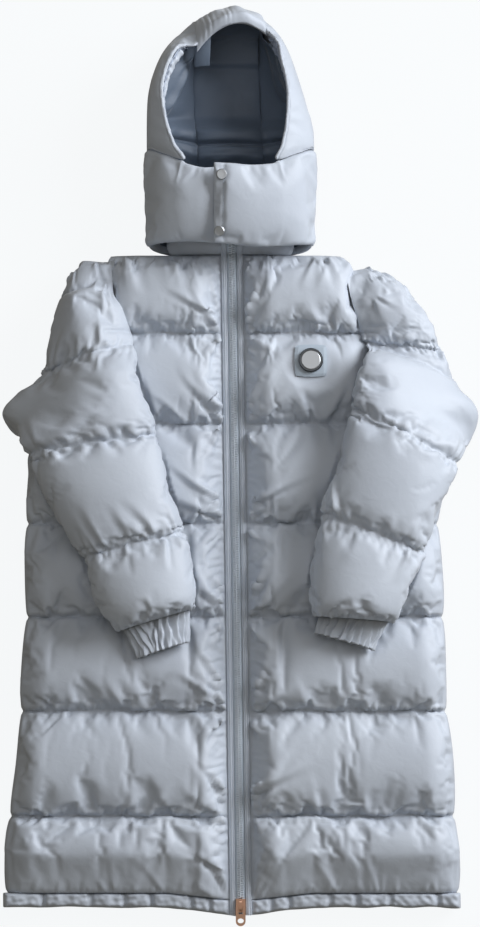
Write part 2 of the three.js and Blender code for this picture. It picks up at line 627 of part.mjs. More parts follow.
function crownStrip(half, rows, from, to) {
  const shares = [-1, -0.5, 0, 0.5, 1];
  const grid = (depth) =>
    rows.map((at) => {
      const row = hoodRow(at);
      const ahead = hoodRow(Math.min(at + 0.05, 10));
      const behind = hoodRow(Math.max(at - 0.05, 0));
      const along = point(0, ahead.seamY - behind.seamY, ahead.seamZ - behind.seamZ).normalize();
      const inward = point(0, along.z, -along.y);
      return shares.map((share) => {
        const away = depth(at, share) - Math.max(row.bow, 0) * (1 - share * share);
        const least = depth === to ? EDGE_THICK : 0;
        const z = Math.max(row.seamZ + inward.z * away, least);
        return point(row.middle + share * half, row.seamY + share * row.lean + inward.y * away, z);
      });
    });
  return wall(grid(from), grid(to));
}

const hoodCrown = () => crownStrip(CROWN_HALF, HOOD_ROWS, () => 0, crownWall);

function crownLining() {
  const rows = HOOD_ROWS.filter((at) => at >= 1 && at <= 9.9);
  const from = (at, share) => crownWall(at, share) + INSIDE_GAP;
  return crownStrip(CROWN_HALF - PLY_GAP, rows, from, (at, share) => from(at, share) + INSIDE_WALL);
}

// A thin cloth inside the hood's side, on the same rows and shares. lift says how far it stands off the wall.
function hoodInside(side, shares, rows, lift) {
  const grid = (depth) =>
    rows.map((at) =>
      shares.map((share) => {
        const inward = hoodInward(side, at, share);
        if (share === 0) inward.setX(0).normalize();
        if (share > 0.5 && at >= OPENING_END) inward.copy(toNeckAxis(hoodPoint(side, at, share)));
        const away = hoodWall(at, share) + INSIDE_GAP + lift(at, share) + depth;
        const p = hoodPoint(side, at, share).addScaledVector(inward, away);
        const least = HOOD_WALL * 0.45 + INSIDE_GAP + depth;
        return point(besideCrown(side, at, p), p.y, Math.max(p.z, least));
      }),
    );
  return wall(grid(0), grid(INSIDE_WALL));
}

// Facing: the turned strip inside the hood's free edge. Its inner border lies on the lining.
function hoodFacing(side) {
  const rows = HOOD_ROWS.filter((at) => at >= 0.5 && at <= 5.5);
  const lift = (at, share) => (share > 0.75 ? 0 : INSIDE_WALL + INSIDE_GAP);
  return hoodInside(side, HOOD_SHARES.slice(-3), rows, lift);
}

function hoodLining(side) {
  const rows = HOOD_ROWS.filter((at) => at >= 1 && at <= 9.9);
  const shares = HOOD_SHARES.slice(0, -2);
  const lift = (at, share) => (share > 0.2 && share < 0.7 ? LINING_PUFF * fullness(HOOD_QUILT, at) : 0);
  return hoodInside(side, shares, rows, lift);
}

// Chin flaps: padded bands that close the hood under the face opening, seamed to the hood's side
function chinPoint(table, side, at, v) {
  const sections = table.map((row, i) => ({ ...row, at: i }));
  const last = sections.length - 1;
  const corner = CHIN_CORNER - OPENING_END;
  const along = (name) => read(sections, "at", name, at);
  const top = point(HOOD_X + along("x"), along("topY"), along("topZ"));
  if (at <= corner) top.copy(hoodPoint(side, CHIN_CORNER - at, 1)).add(CHIN_SEAM);
  const low = point(HOOD_X + along("x"), along("lowY"), along("lowZ"));
  const place = top.lerp(low, v);
  if (at === 0) place.copy(hoodPoint(side, mix(CHIN_CORNER, 10, v), 1)).add(CHIN_SEAM);
  const edge = Math.min(Math.sin(Math.PI * v) ** 0.7, quarterRound((last - at) / 1.5));
  const puffed = Math.min(edge, quarterRound(at / 3));
  const inward = toNeckAxis(place);
  const outer = place.clone().addScaledVector(inward, -CHIN_PUFF * puffed);
  return { outer, inner: outer.clone().addScaledVector(inward, mix(CHIN_EDGE_WALL, CHIN_WALL, puffed)) };
}

function chinFlap(table, side) {
  const rows = [];
  for (let at = 0; at <= table.length - 1; at += 0.5)
    rows.push(CHIN_ACROSS.map((v) => chinPoint(table, side, at, v)));
  return wall(rows.map((row) => row.map((p) => p.outer)), rows.map((row) => row.map((p) => p.inner)));
}

// Stand collar: the back half of its ring, and a front piece on each side of the zip
function collarPiece(from, to, steps) {
  const ring = (row, inset) =>
    Array.from({ length: steps + 1 }, (_, i) => {
      const turn = THREE.MathUtils.degToRad(mix(from, to, i / steps));
      const upper = Math.cos(turn) > 0;
      const height = upper ? row.top - row.middle : row.middle - row.bottom;
      const x = HOOD_X + (row.half - inset) * Math.sin(turn);
      return point(x, row.y, row.middle + (height - inset) * Math.cos(turn));
    });
  return wall(COLLAR.map((row) => ring(row, 0)), COLLAR.map((row) => ring(row, COLLAR_WALL)));
}

// Zip
// Height of what the zip lies on: the flat strips of the fronts, then the collar.
function zipSeatZ(y) {
  return y < NECK_Y ? insideZ(y) + PLY_GAP + ZIP_SEAT : read(COLLAR, "y", "top", y);
}
// The tape rides a little higher where it climbs from the fronts onto the collar.
const zipBase = (y) => zipSeatZ(y) + PLY_GAP + TAPE_CLIMB * smoothStep(NECK_Y - 30, NECK_Y - 4, y);
const ZIP_STATIONS = [NECK_Y - NECK_ROUND, NECK_Y - 5, 304, 309, 318, 330, ZIP_TOP_Y];

function zipStrip(near, far, low, thick, endY) {
  const grid = (rise) =>
    [endY, ...ZIP_STATIONS].map((y) => [near, far].map((x) => point(zipX(y) + x, y, zipBase(y) + low + rise)));
  return wall(grid(thick), grid(0));
}

function solidFrom(geometry) {
  const bare = geometry.index ? geometry.toNonIndexed() : geometry;
  const places = bare.getAttribute("position").array;
  const found = new Map();
  const vertices = [];
  const triangles = [];
  for (let i = 0; i < places.length; i += 3) {
    const key = [places[i], places[i + 1], places[i + 2]].map((v) => v.toFixed(4)).join();
    if (!found.has(key)) {
      found.set(key, vertices.length / 3);
      vertices.push(places[i], places[i + 1], places[i + 2]);
    }
    triangles.push(found.get(key));
  }
  const vertProperties = new Float32Array(vertices);
  const triVerts = new Uint32Array(triangles);
  return new wasm.Manifold(new wasm.Mesh({ numProp: 3, vertProperties, triVerts }));
}

function geometryFrom(solid) {
  const mesh = solid.getMesh();
  const geometry = new THREE.BufferGeometry();
  geometry.setAttribute("position", new THREE.BufferAttribute(mesh.vertProperties, 3));
  geometry.setIndex(new THREE.BufferAttribute(mesh.triVerts, 1));
  return geometry;
}

// Slider: a tapered plate with a bridge that holds the pull. Its nose points along -Y.
function sliderBody() {
  const { width, nose, length, thick } = SLIDER;
  const plate = new THREE.Shape([
    new THREE.Vector2(-nose / 2, -length / 2),
    new THREE.Vector2(nose / 2, -length / 2),
    new THREE.Vector2(width / 2, 0),
    new THREE.Vector2(width / 2, length / 2),
    new THREE.Vector2(-width / 2, length / 2),
    new THREE.Vector2(-width / 2, 0),
  ]);
  const body = new THREE.ExtrudeGeometry(plate, { depth: thick, bevelEnabled: false });
  const { reach, rise, round } = BRIDGE;
  const arch = new THREE.Shape();
  arch.moveTo(-reach, -1);
  arch.lineTo(-reach, rise - round);
  arch.quadraticCurveTo(-reach, rise, -reach + round, rise);
  arch.lineTo(reach - round, rise);
  arch.quadraticCurveTo(reach, rise, reach, rise - round);
  arch.lineTo(reach, -1);
  arch.lineTo(reach - BRIDGE.thick, -1);
  arch.lineTo(reach - BRIDGE.thick, rise - BRIDGE.thick);
  arch.lineTo(-reach + BRIDGE.thick, rise - BRIDGE.thick);
  arch.lineTo(-reach + BRIDGE.thick, -1);
  const bridge = new THREE.ExtrudeGeometry(arch, { depth: BRIDGE.width, bevelEnabled: false, curveSegments: 3 });
  bridge.translate(0, 0, -BRIDGE.width / 2);
  bridge.rotateX(Math.PI / 2);
  bridge.rotateZ(Math.PI / 2);
  bridge.translate(0, 0, thick);
  return geometryFrom(solidFrom(body).add(solidFrom(bridge)));
}

// Pull: a flat loop whose bar passes under the bridge, with an oval hole near its free end. It lies along -Y
// from its hinge line, which is the middle of the bar.
function pullTab() {
  const { half, length, thick, eyeHalf, eyeEnd, holeY, holeX, holeHalf } = PULL;
  const bar = thick / 2;
  const outline = new THREE.Shape();
  outline.moveTo(-half + 2, bar);
  outline.lineTo(-half, bar - 2);
  outline.lineTo(-half, -length + half);
  outline.absarc(0, -length + half, half, Math.PI, 2 * Math.PI, false);
  outline.lineTo(half, bar - 2);
  outline.lineTo(half - 2, bar);
  const eye = new THREE.Path([
    new THREE.Vector2(-eyeHalf, -bar),
    new THREE.Vector2(eyeHalf, -bar),
    new THREE.Vector2(eyeHalf, -eyeEnd),
    new THREE.Vector2(-eyeHalf, -eyeEnd),
  ]);
  const hole = new THREE.Path().absellipse(0, -holeY, holeX, holeHalf, 0, 2 * Math.PI, true);
  outline.holes.push(eye, hole);
  const flat = new THREE.ExtrudeGeometry(outline, { depth: thick, bevelEnabled: false, curveSegments: 8 });
  return flat.translate(0, 0, -thick / 2);
}

// Round trim: a disc with a rolled edge and a dished face, standing on +Z
function roundTrim(radius, thick, face, dish, segments = 28) {
  const roll = Math.min(1.2, thick * 0.4);
  const profile = [new THREE.Vector2(0, 0), new THREE.Vector2(radius, 0)];
  profile.push(new THREE.Vector2(radius, thick - roll), new THREE.Vector2(radius - roll, thick));
  profile.push(new THREE.Vector2(face, thick), new THREE.Vector2(face, thick - dish));
  profile.push(new THREE.Vector2(0, thick - dish));
  return new THREE.LatheGeometry(profile, segments).rotateX(Math.PI / 2);
}

// A plain blank disc that sits in a dished face
function blankDisc(radius, thick, segments = 28) {
  const profile = [new THREE.Vector2(0, 0), new THREE.Vector2(radius, 0)];
  profile.push(new THREE.Vector2(radius, thick * 0.7), new THREE.Vector2(radius - 0.8, thick));
  profile.push(new THREE.Vector2(0, thick));
  return new THREE.LatheGeometry(profile, segments).rotateX(Math.PI / 2);
}

// Badge: a soft square patch made from the points of the left front, moved out, and hard round trim on it
function badgePlace(x, y, out) {
  const down = NECK_Y - y;
  const surface = (px, py) =>
    insideZ(py) + PLY_GAP + frontLift(px - zipX(py), frontReach(1, NECK_Y - py), NECK_Y - py);
  const step = 0.5;
  const slopeX = (surface(x + step, y) - surface(x - step, y)) / (2 * step);
  const slopeY = (surface(x, y + step) - surface(x, y - step)) / (2 * step);
  const normal = point(-slopeX, -slopeY, 1).normalize();
  return { normal, place: point(x, dipped(x, down), surface(x, y)).addScaledVector(normal, out) };
}

function badgePatch() {
  const steps = [-1, -0.8, -0.4, 0, 0.4, 0.8, 1];
  const corner = (a, b) => 1 - 0.08 * (a * b) ** 2;
  const grid = (out) =>
    steps.map((v) =>
      steps.map((u) => {
        const rim = Math.max(Math.abs(u), Math.abs(v)) === 1 && out > PATCH_GAP;
        const side = BADGE.patch * corner(u, v);
        return badgePlace(BADGE.x + side * u, BADGE.y + side * v, rim ? out - PATCH_EDGE : out).place;
      }),
    );
  return wall(grid(PATCH_GAP + BADGE.patchThick), grid(PATCH_GAP));
}

function standOn(mesh, place, normal) {
  mesh.quaternion.setFromUnitVectors(point(0, 0, 1), normal);
  mesh.position.copy(place);
}

function add(parent, name, geometry, material) {
  const mesh = new THREE.Mesh(geometry, material);
  mesh.name = name;
  parent.add(mesh);
  return mesh;
}

// Assembly
const coat = new THREE.Group();

add(coat, "back_panel", backPanel(), CLOTH);
add(coat, "hem_back", hemBack(), CLOTH);
add(coat, "front_right", frontPanel(-1), CLOTH);
add(coat, "front_left", frontPanel(1), CLOTH);
add(coat, "hem_right", hemFront(-1), CLOTH);
add(coat, "hem_left", hemFront(1), CLOTH);

add(coat, "sleeve_right", sleeve(SLEEVE_RIGHT), CLOTH);
add(coat, "sleeve_left", sleeve(SLEEVE_LEFT), CLOTH);
add(coat, "cuff_right", cuff(SLEEVE_RIGHT, CUFF_END_RIGHT), CLOTH);
add(coat, "cuff_left", cuff(SLEEVE_LEFT, CUFF_END_LEFT), CLOTH);

add(coat, "collar_back", collarPiece(91, 269, 12), CLOTH);
add(coat, "collar_right", collarPiece(-89, -1, 7), CLOTH);
add(coat, "collar_left", collarPiece(1, 89, 7), CLOTH);

add(coat, "hood_crown", hoodCrown(), CLOTH);
add(coat, "hood_side_right", hoodSide(-1), CLOTH);
add(coat, "hood_side_left", hoodSide(1), CLOTH);
add(coat, "hood_facing_right", hoodFacing(-1), CLOTH);
add(coat, "hood_facing_left", hoodFacing(1), CLOTH);
add(coat, "hood_lining_crown", crownLining(), LINING);
add(coat, "hood_lining_right", hoodLining(-1), LINING);
add(coat, "hood_lining_left", hoodLining(1), LINING);
add(coat, "chin_flap_right", chinFlap(CHIN_UNDER, -1), CLOTH);
add(coat, "chin_flap_left", chinFlap(CHIN_OVER, 1), CLOTH);

add(coat, "zip_tape_right", zipStrip(-TAPE_HALF, -PLY_GAP / 2, 0, TAPE_THICK, ZIP_END_Y), TAPE);
add(coat, "zip_tape_left", zipStrip(PLY_GAP / 2, TAPE_HALF, 0, TAPE_THICK, ZIP_END_Y), TAPE);
const chainLow = TAPE_THICK + PLY_GAP;
const chainEnd = SLIDER.y + SLIDER.length / 2 + PLY_GAP;
add(coat, "zip_chain", zipStrip(-CHAIN_HALF, CHAIN_HALF, chainLow, CHAIN_THICK, chainEnd), TEETH);
add(coat, "placket_right", zipStrip(-PLACKET_FAR, -PLACKET_NEAR, 0, PLACKET_THICK, ZIP_END_Y), CLOTH);
add(coat, "placket_left", zipStrip(PLACKET_NEAR, PLACKET_FAR, 0, PLACKET_THICK, ZIP_END_Y), CLOTH);

const slider = add(coat, "slider_bottom", sliderBody(), ROSE_GOLD);
slider.position.set(zipX(SLIDER.y), SLIDER.y, zipBase(SLIDER.y) + chainLow);
const pull = add(coat, "pull_tab", pullTab(), ROSE_GOLD);
pull.position.copy(slider.position).add(point(0, 0, SLIDER.thick + (BRIDGE.rise - BRIDGE.thick) / 2));

add(coat, "badge_patch", badgePatch(), RUBBER);
const badgeSeat = badgePlace(BADGE.x, BADGE.y, PATCH_GAP + BADGE.patchThick + PLY_GAP);
const rim = add(coat, "badge_rim", roundTrim(BADGE.rim, BADGE.rimThick, BADGE.face, BADGE.dish), GUNMETAL);
standOn(rim, badgeSeat.place, badgeSeat.normal);
const disc = add(coat, "badge_disc", blankDisc(BADGE.face - 0.4, BADGE.dish - PLY_GAP), SATIN_METAL);
const dishLift = BADGE.rimThick - BADGE.dish + PLY_GAP;
standOn(disc, badgeSeat.place.clone().addScaledVector(badgeSeat.normal, dishLift), badgeSeat.normal);

for (const { name, at, from, to, across, lift } of STUDS) {
  const near = chinPoint(CHIN_OVER, 1, at, from).outer;
  const far = chinPoint(CHIN_OVER, 1, at, to).outer;
  const beside = chinPoint(CHIN_OVER, 1, at - 0.5, from).outer;
  const normal = far.clone().sub(near).cross(beside.sub(near)).normalize();
  if (normal.z < 0) normal.negate();
  const stud = add(coat, name, roundTrim(STUD.radius, STUD.thick, STUD.face, STUD.dish, 24), SATIN_METAL);
  const seat = near.lerp(far, (across - from) / (to - from));
  standOn(stud, seat.addScaledVector(normal, lift), normal);
}

export default coat;
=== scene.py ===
# Long puffer coat, laid flat on its back with its sleeves folded over the fronts.
# The tables repeat the solids' own sizes, in millimetres.
# Meshes are made in millimetres and stored in metres.
import math

import bmesh
import bpy
import numpy as np
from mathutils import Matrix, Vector


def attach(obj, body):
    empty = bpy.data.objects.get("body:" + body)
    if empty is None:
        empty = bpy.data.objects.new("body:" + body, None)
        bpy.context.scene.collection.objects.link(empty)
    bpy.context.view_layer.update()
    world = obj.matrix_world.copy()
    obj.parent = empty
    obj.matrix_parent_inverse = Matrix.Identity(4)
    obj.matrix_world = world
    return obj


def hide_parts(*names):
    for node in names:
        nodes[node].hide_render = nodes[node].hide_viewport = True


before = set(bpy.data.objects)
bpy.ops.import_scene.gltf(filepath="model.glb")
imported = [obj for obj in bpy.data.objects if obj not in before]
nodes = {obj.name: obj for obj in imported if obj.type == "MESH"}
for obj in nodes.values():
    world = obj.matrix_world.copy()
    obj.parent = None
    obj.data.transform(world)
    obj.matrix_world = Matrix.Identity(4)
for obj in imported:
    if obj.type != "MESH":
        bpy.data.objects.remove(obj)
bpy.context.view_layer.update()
coat_scene = bpy.context.scene

# Body
PLY_GAP = 0.3
NECK_Y = 298
HEM_DOWN = 941
HEM_SEAM_DOWN = 920
HEM_DIP = 12
HEM_DIP_REACH = 104
HEM_DIP_START = 760
INSIDE_AT_NECK = 30
INSIDE_AT_HEM = 16
ZIP_X_AT_NECK = -12
ZIP_X_AT_HEM = 1
ZIP_SEAT = 13.7
QUILT_LIFT = 5
PUFF_LIFT = 27
CHANNEL_HALF = 16.5
ZIP_ROUND = 42
SIDE_ROUND = 46
NECK_ROUND = 26
EDGE_THICK = 2.5
NOTCH = 6
QUILT_DOWN = [0, 115, 247, 391, 526, 661, 811, HEM_SEAM_DOWN]
BODY_X = -10
OUTLINE_DOWN = [0, 23, 64, 112, 150, 180, 216, 245, 267, 286, 320, 394, 510, 626, 731, 829, 887, HEM_DOWN]
OUTLINE = {
    -1: [184, 186, 188, 196, 202, 208, 220, 240, 270, 295, 297, 302, 301, 307, 312, 326, 328, 329],
    1: [162, 175, 183, 197, 204, 209, 220, 240, 270, 297, 305, 300, 306, 308, 317, 322, 326, 326],
}
CROWN_LIFT = ZIP_SEAT + QUILT_LIFT + PUFF_LIFT
FRONT_COLUMNS = 55
CHANNEL_MIDDLE = 8.2
FRONT_PUFF = 0.86
SLUMP = 8  # how far the filling's crowns have slid down
LAST_SLUMP = 1
HELD_BESIDE_ZIP = ((3, 0.7), (4, 0.5), (5, 0.3))  # a column of points, and how firmly it is held
CALM_OVER_HEM = (850, 905)
BADGE_SEAT = (44, 27)
BACK_COLUMNS = 131

# Sleeves: the edge that lies on the front (inner) and the edge away from it (outer), at eleven places
SLEEVE_AT = list(range(11))
SLEEVE = {
    -1: {
        "innerX": [-193, -187, -172, -157, -141, -126, -116, -98, -77, -64, -61],
        "innerY": [289, 242, 201, 163, 104, 60, 28, -48, -111, -179, -218],
        "outerX": [-236, -252, -271, -293, -320, -342, -305, -275, -226, -207, -178],
        "outerY": [294, 248, 201, 121, 94, 62, 1, -69, -148, -207, -253],
    },
    1: {
        "innerX": [165, 170, 180, 186, 172, 164, 157, 136, 114, 97, 100],
        "innerY": [276, 227, 195, 169, 126, 94, 68, -16, -83, -186, -230],
        "outerX": [196, 240, 278, 296, 316, 343, 315, 291, 264, 238, 223],
        "outerY": [284, 250, 201, 156, 105, 63, -13, -68, -142, -204, -239],
    },
}
CUFF_END = {
    -1: {"innerX": -68, "innerY": -264, "outerX": -152, "outerY": -291},
    1: {"innerX": 102, "innerY": -251, "outerX": 196, "outerY": -279},
}
SLEEVE_QUILT = [0, 3, 6, 8, 10]
SLEEVE_STEPS = [30, 28, 32, 26]
SLEEVE_AROUND = 76
SLEEVE_PUFF = 74
SLEEVE_SEAM = 62
SLEEVE_END = 40
CUFF_THICK = 26
CUFF_INSET = 0.05
CUFF_ROUND = 230
CUFF_RINGS = 22
CUFF_AROUND = 300
PLEATS = 46
ELASTIC_ROWS = 3
SLOPES = {"under": ([6, 8], [58, -12]), "upper": ([6, 8], [100, 45])}
LEAST_SLEEVE = 15
EDGE_SHARE = (0.52, 0.34)
ARMHOLE_LAP = 5
LAP_COLUMNS = 15
LAP_CREST = (78, 136)
ARMHOLE_END = 3.2
FOLD_OVER = (4, 22)

# Hood, from forehead to nape
HOOD_X = -14
HOOD_WALL = 12
HOOD_AT = list(range(11))
HOOD_SIDE = {
    "middle": [-11, -16, -21, -22, -20, -17, -14, -14, -14, -14, -14],
    "lean": [10.5, 2, 0, 0, 0, 0, 0, 0, 0, 0, 0],
    "bow": [28, 16, 8, 4, 0, 0, 0, 0, 0, 0, 0],
    "seamY": [614, 644, 640, 604, 545, 492, 458, 436, 412, 360, 299],
    "seamZ": [93, 54, 17, 1, 0, 0, 0, 0, 0, 0, 0],
    "wideX": [50, 66, 86, 102, 114, 122, 128, 127, 122, 112, 102],
    "wideY": [612, 622, 598, 553, 512, 484, 466, 452, 432, 382, 303],
    "wideZ": [94, 66, 60, 57, 56, 55, 52, 44, 30, 20, 15],
    "edgeX": [54, 74, 84, 93, 90, 80, 69, 98, 124, 126, 121],
    "edgeY": [607, 598, 572, 533, 486, 446, 424, 437, 446, 396, 309],
    "edgeZ": [95, 102, 109, 115, 120, 122, 121, 103, 68, 58, 50],
}
CROWN_HALF = 48
HOOD_FREE = 117
NECK_AXIS_Z = 52
OPENING_END = 6
CHIN_CORNER = 8
INSIDE_WALL = 1.6
INSIDE_GAP = 0.8
LINING_PUFF = 5
LINING_THICK = 1.2
FACING_START = 0.74
HOOD_ROWS = 84
HOOD_QUILT = [0, 2, 4, 6, 8, 10]

# Chin flaps: the right one under the left one
CHIN = {
    -1: {
        "x": [-124, -99, -69, -42, -22, 4],
        "topY": [444.5, 434, 420, 413, 414, 414],
        "topZ": [69, 104, 122, 123, 119, 118],
        "lowY": [309, 309, 309, 308, 307, 307],
        "lowZ": [51, 84, 97, 100, 97, 96],
    },
    1: {
        "x": [124, 99, 69, 34, 4, -24],
        "topY": [444.5, 434, 420, 415, 416, 417],
        "topZ": [69, 104, 122, 131, 137, 140],
        "lowY": [312, 306, 302, 300, 302, 304],
        "lowZ": [51, 84, 97, 108, 114, 117],
    },
}
CHIN_PUFF = 12
CHIN_WALL = 11
CHIN_EDGE_WALL = 4
CHIN_SEAM = np.array([0, -1.1, 0.9])
FLAP_SEAM = 40  # the row of the upper flap where its facing is stitched down
FLAP_GROOVE = 2.2

COLLAR_Y = [298.4, 309, 330, 356]
COLLAR = {
    "top": [50, 68, 78, 77],
    "middle": [34, 40, 44, 44],
    "bottom": [15, 15, 15, 15],
    "half": [88, 92, 92, 90],
}
COLLAR_WALL = 8

# Zip
TAPE_HALF = 7
TAPE_THICK = 1.1
TAPE_CLIMB = 2.4
CHAIN_HALF = 4.3
CHAIN_THICK = 3.4
PLACKET_NEAR = TAPE_HALF + PLY_GAP
PLACKET_FAR = 15.6
ZIP_END_Y = -654
ZIP_TOP_Y = 350
SLIDER_Y = -640
SLIDER_HALF = 9.5
TOOTH_PITCH = 2.5
TOOTH_TOP = CHAIN_THICK - 0.3
TOOTH_PROFILE = [(-0.78, 0), (-0.7, 2.2), (-0.25, TOOTH_TOP), (0.25, TOOTH_TOP), (0.7, 2.2), (0.78, 0)]
THREAD_RING = ((-1, 0), (0, 1), (1, 0), (0, -1))

SHOWN_STEP = 5.2  # between the cloth's points before they are divided once
FULL_TURN = 6.28
RIPPLE_WAVES = 8
FILL_FRAMES = 16
CACHE_FRAMES = 20


def smooth(low, high, value):
    t = np.clip((np.asarray(value, float) - low) / (high - low), 0, 1)
    return t * t * (3 - 2 * t)


def blend(a, b, share):
    return a + (b - a) * share


def quarter_round(value):
    return np.sqrt(1 - (1 - np.clip(value, 0, 1)) ** 2)


def read(places, values, place):
    """A column of a table at any place between its rows, along the solids' own smooth curve."""
    places, values = np.asarray(places, float), np.asarray(values, float)
    slopes = np.gradient(values, places)
    slopes[1:-1] = (values[2:] - values[:-2]) / (places[2:] - places[:-2])
    i = np.clip(np.searchsorted(places, place, side="right") - 1, 0, len(places) - 2)
    span = places[i + 1] - places[i]
    t = np.clip((place - places[i]) / span, 0, 1)
    rise = values[i + 1] - values[i]
    bend = slopes[i] * span - rise
    bend_back = rise - slopes[i + 1] * span
    return values[i] + rise * t + t * (1 - t) * (bend * (1 - t) + bend_back * t)


def fullness(lines, place, power=2.6):
    """0 on a quilting line and 1 on the crown of a baffle."""
    lines = np.asarray(lines, float)
    i = np.clip(np.searchsorted(lines, place, side="right") - 1, 0, len(lines) - 2)
    t = np.clip((place - lines[i]) / (lines[i + 1] - lines[i]), 0, 1)
    return np.sqrt(np.clip(1 - np.abs(2 * t - 1) ** power, 0, 1))


def sagging(lines, place):
    """The same where the filling has slid down: the crown lies low, but in the last baffle high."""
    lines = np.asarray(lines, float)
    i = np.clip(np.searchsorted(lines, place, side="right") - 1, 0, len(lines) - 2)
    t = np.clip((place - lines[i]) / (lines[i + 1] - lines[i]), 0, 1)
    full = fullness([0, 1], t**1.4, 2.3)
    gentle = np.minimum(fullness([0, 1], t**0.85, 2.3), np.clip((1 - t) / 0.5, 0, 1) ** 0.7)
    return np.where((i == len(lines) - 2) & (len(lines) > 6), gentle, full)


def to_line(lines, place):
    """Distance to the nearest quilting line."""
    return np.min(np.abs(np.asarray(place, float)[..., None] - np.asarray(lines, float)), axis=-1)


def ripple(u, v, size, seed):
    """Uneven waves about that size from crest to crest, mostly between -1 and 1."""
    lots = np.random.default_rng(seed)
    turns = lots.uniform(0, FULL_TURN, RIPPLE_WAVES)
    phases = lots.uniform(0, FULL_TURN, RIPPLE_WAVES)
    stretches = lots.uniform(0.6, 1.5, RIPPLE_WAVES)
    total = 0
    for turn, phase, stretch in zip(turns, phases, stretches):
        total = total + np.sin((u * np.cos(turn) + v * np.sin(turn)) * FULL_TURN * stretch / size + phase)
    return total / (RIPPLE_WAVES / 2)


def twice(grid, tube=False):
    """A grid with a point added between every two, on a smooth curve through them."""
    for axis in (0, 1):
        wraps = tube and axis == 1
        around = "wrap" if wraps else "edge"
        wide = [(2, 2) if a == axis else (0, 0) for a in range(grid.ndim)]
        far = np.pad(grid, wide, mode=around)
        n = grid.shape[axis]
        take = [far.take(range(k, k + n + 1), axis=axis) for k in range(4)]
        between = (9 * (take[1] + take[2]) - take[0] - take[3]) / 16
        between = between.take(range(1, n + 1 if wraps else n), axis=axis)
        rest = grid.take(range(n - 1, n), axis=axis)
        lead = grid if wraps else grid.take(range(n - 1), axis=axis)
        pairs = np.stack([lead, between], axis=axis + 1)
        shape = list(lead.shape)
        shape[axis] *= 2
        grid = pairs.reshape(shape) if wraps else np.concatenate([pairs.reshape(shape), rest], axis=axis)
    return grid


def creases(u, v, marks):
    """Sharp folds in cloth. A mark is (u, v, turn, length, width, height, curl), with turn in degrees."""
    total = np.zeros(np.broadcast(u, v).shape)
    for start_u, start_v, turn, length, wide, height, curl in marks:
        near = (np.abs(u - start_u) < length + 3 * wide) & (np.abs(v - start_v) < length + 3 * wide)
        if not near.any():
            continue
        du, dv = (u - start_u)[near], (v - start_v)[near]
        c, s = math.cos(math.radians(turn)), math.sin(math.radians(turn))
        run = du * c + dv * s
        off = dv * c - du * s + curl * (run / length) ** 2
        t = np.clip(run / length, 0, 1)
        spread = wide * (0.55 + 0.9 * t)
        steep = np.where(off > 0, 1.0, 1.9)
        ridge = np.exp(-((np.abs(off) / (spread * steep)) ** 1.5))
        hollow = np.exp(-(((off - 2 * spread) / spread) ** 2))
        crest = ridge - 0.45 * hollow
        total[near] += height * crest * np.clip(t / 0.12, 0, 1) * (1 - t) ** 1.1 * (run > 0)
    return total


def seam_marks(lots, line, start, end, spacing, long, wide, high, way):
    """Short puckers on one side of a seam at v = line; way is 1 down from it and -1 up from it."""
    marks, at = [], start
    while at < end:
        at += spacing * lots.uniform(0.4, 1.7)
        turn = way * 90 + lots.normal(0, 17)
        size = lots.uniform(0.35, 1.0) ** 1.5
        length, width, height = long * (0.4 + size), wide * (0.6 + 0.5 * size), high * (0.35 + size)
        marks.append((at, line, turn, length, width, height, lots.uniform(-5, 5)))
    return marks


def fold(lots, u, v, turn, *spans):
    """A mark whose length, width, height and curl are each drawn from a span."""
    return (u, v, turn, *(lots.uniform(*span) for span in spans))


def facing_out(points, away):
    """The direction out of the cloth at each point of a grid."""
    across = np.gradient(points, axis=1)
    along = np.gradient(points, axis=0)
    out = np.cross(across, along)
    out /= np.maximum(np.linalg.norm(out, axis=-1, keepdims=True), 1e-9)
    return out * np.sign(np.sum(out * away, axis=-1, keepdims=True) + 1e-9)


def steps(lines, count):
    """Places on every quilting line, with count steps over each baffle."""
    baffles = [np.linspace(a, b, n, endpoint=False) for a, b, n in zip(lines, lines[1:], count)]
    return np.concatenate(baffles + [[lines[-1]]])


def zip_x(y):
    return blend(ZIP_X_AT_NECK, ZIP_X_AT_HEM, (NECK_Y - y) / HEM_DOWN)


def inside_z(y):
    return blend(INSIDE_AT_NECK, INSIDE_AT_HEM, (NECK_Y - y) / HEM_DOWN)


def half_width(side, down):
    return read(OUTLINE_DOWN, OUTLINE[side], down)


def dipped(x, down):
    near_zip = 1 - np.clip(np.abs(x - zip_x(NECK_Y - down)) / HEM_DIP_REACH, 0, 1)
    return NECK_Y - down - HEM_DIP * near_zip * smooth(HEM_DIP_START, HEM_DOWN, down)


def front_lift(away, reach, down, puffed=1.0, full=None):
    rise = quarter_round((away - CHANNEL_HALF) / ZIP_ROUND)
    rise = rise if full is None else rise**2
    full = fullness(QUILT_DOWN, down) if full is None else full
    fall = quarter_round((reach - away) / SIDE_ROUND)
    neck = blend(0.5, 1, quarter_round(down / NECK_ROUND))
    puff = QUILT_LIFT + PUFF_LIFT * puffed * np.maximum(full, 0.4 * (1 - down / NECK_ROUND))
    return np.maximum(EDGE_THICK, (ZIP_SEAT + rise * puff * neck) * fall * blend(1, neck, rise))


def front_reach(side, down):
    pulled = NOTCH * (1 - fullness(QUILT_DOWN, down))
    return half_width(side, down) + side * (BODY_X - zip_x(NECK_Y - down)) - pulled


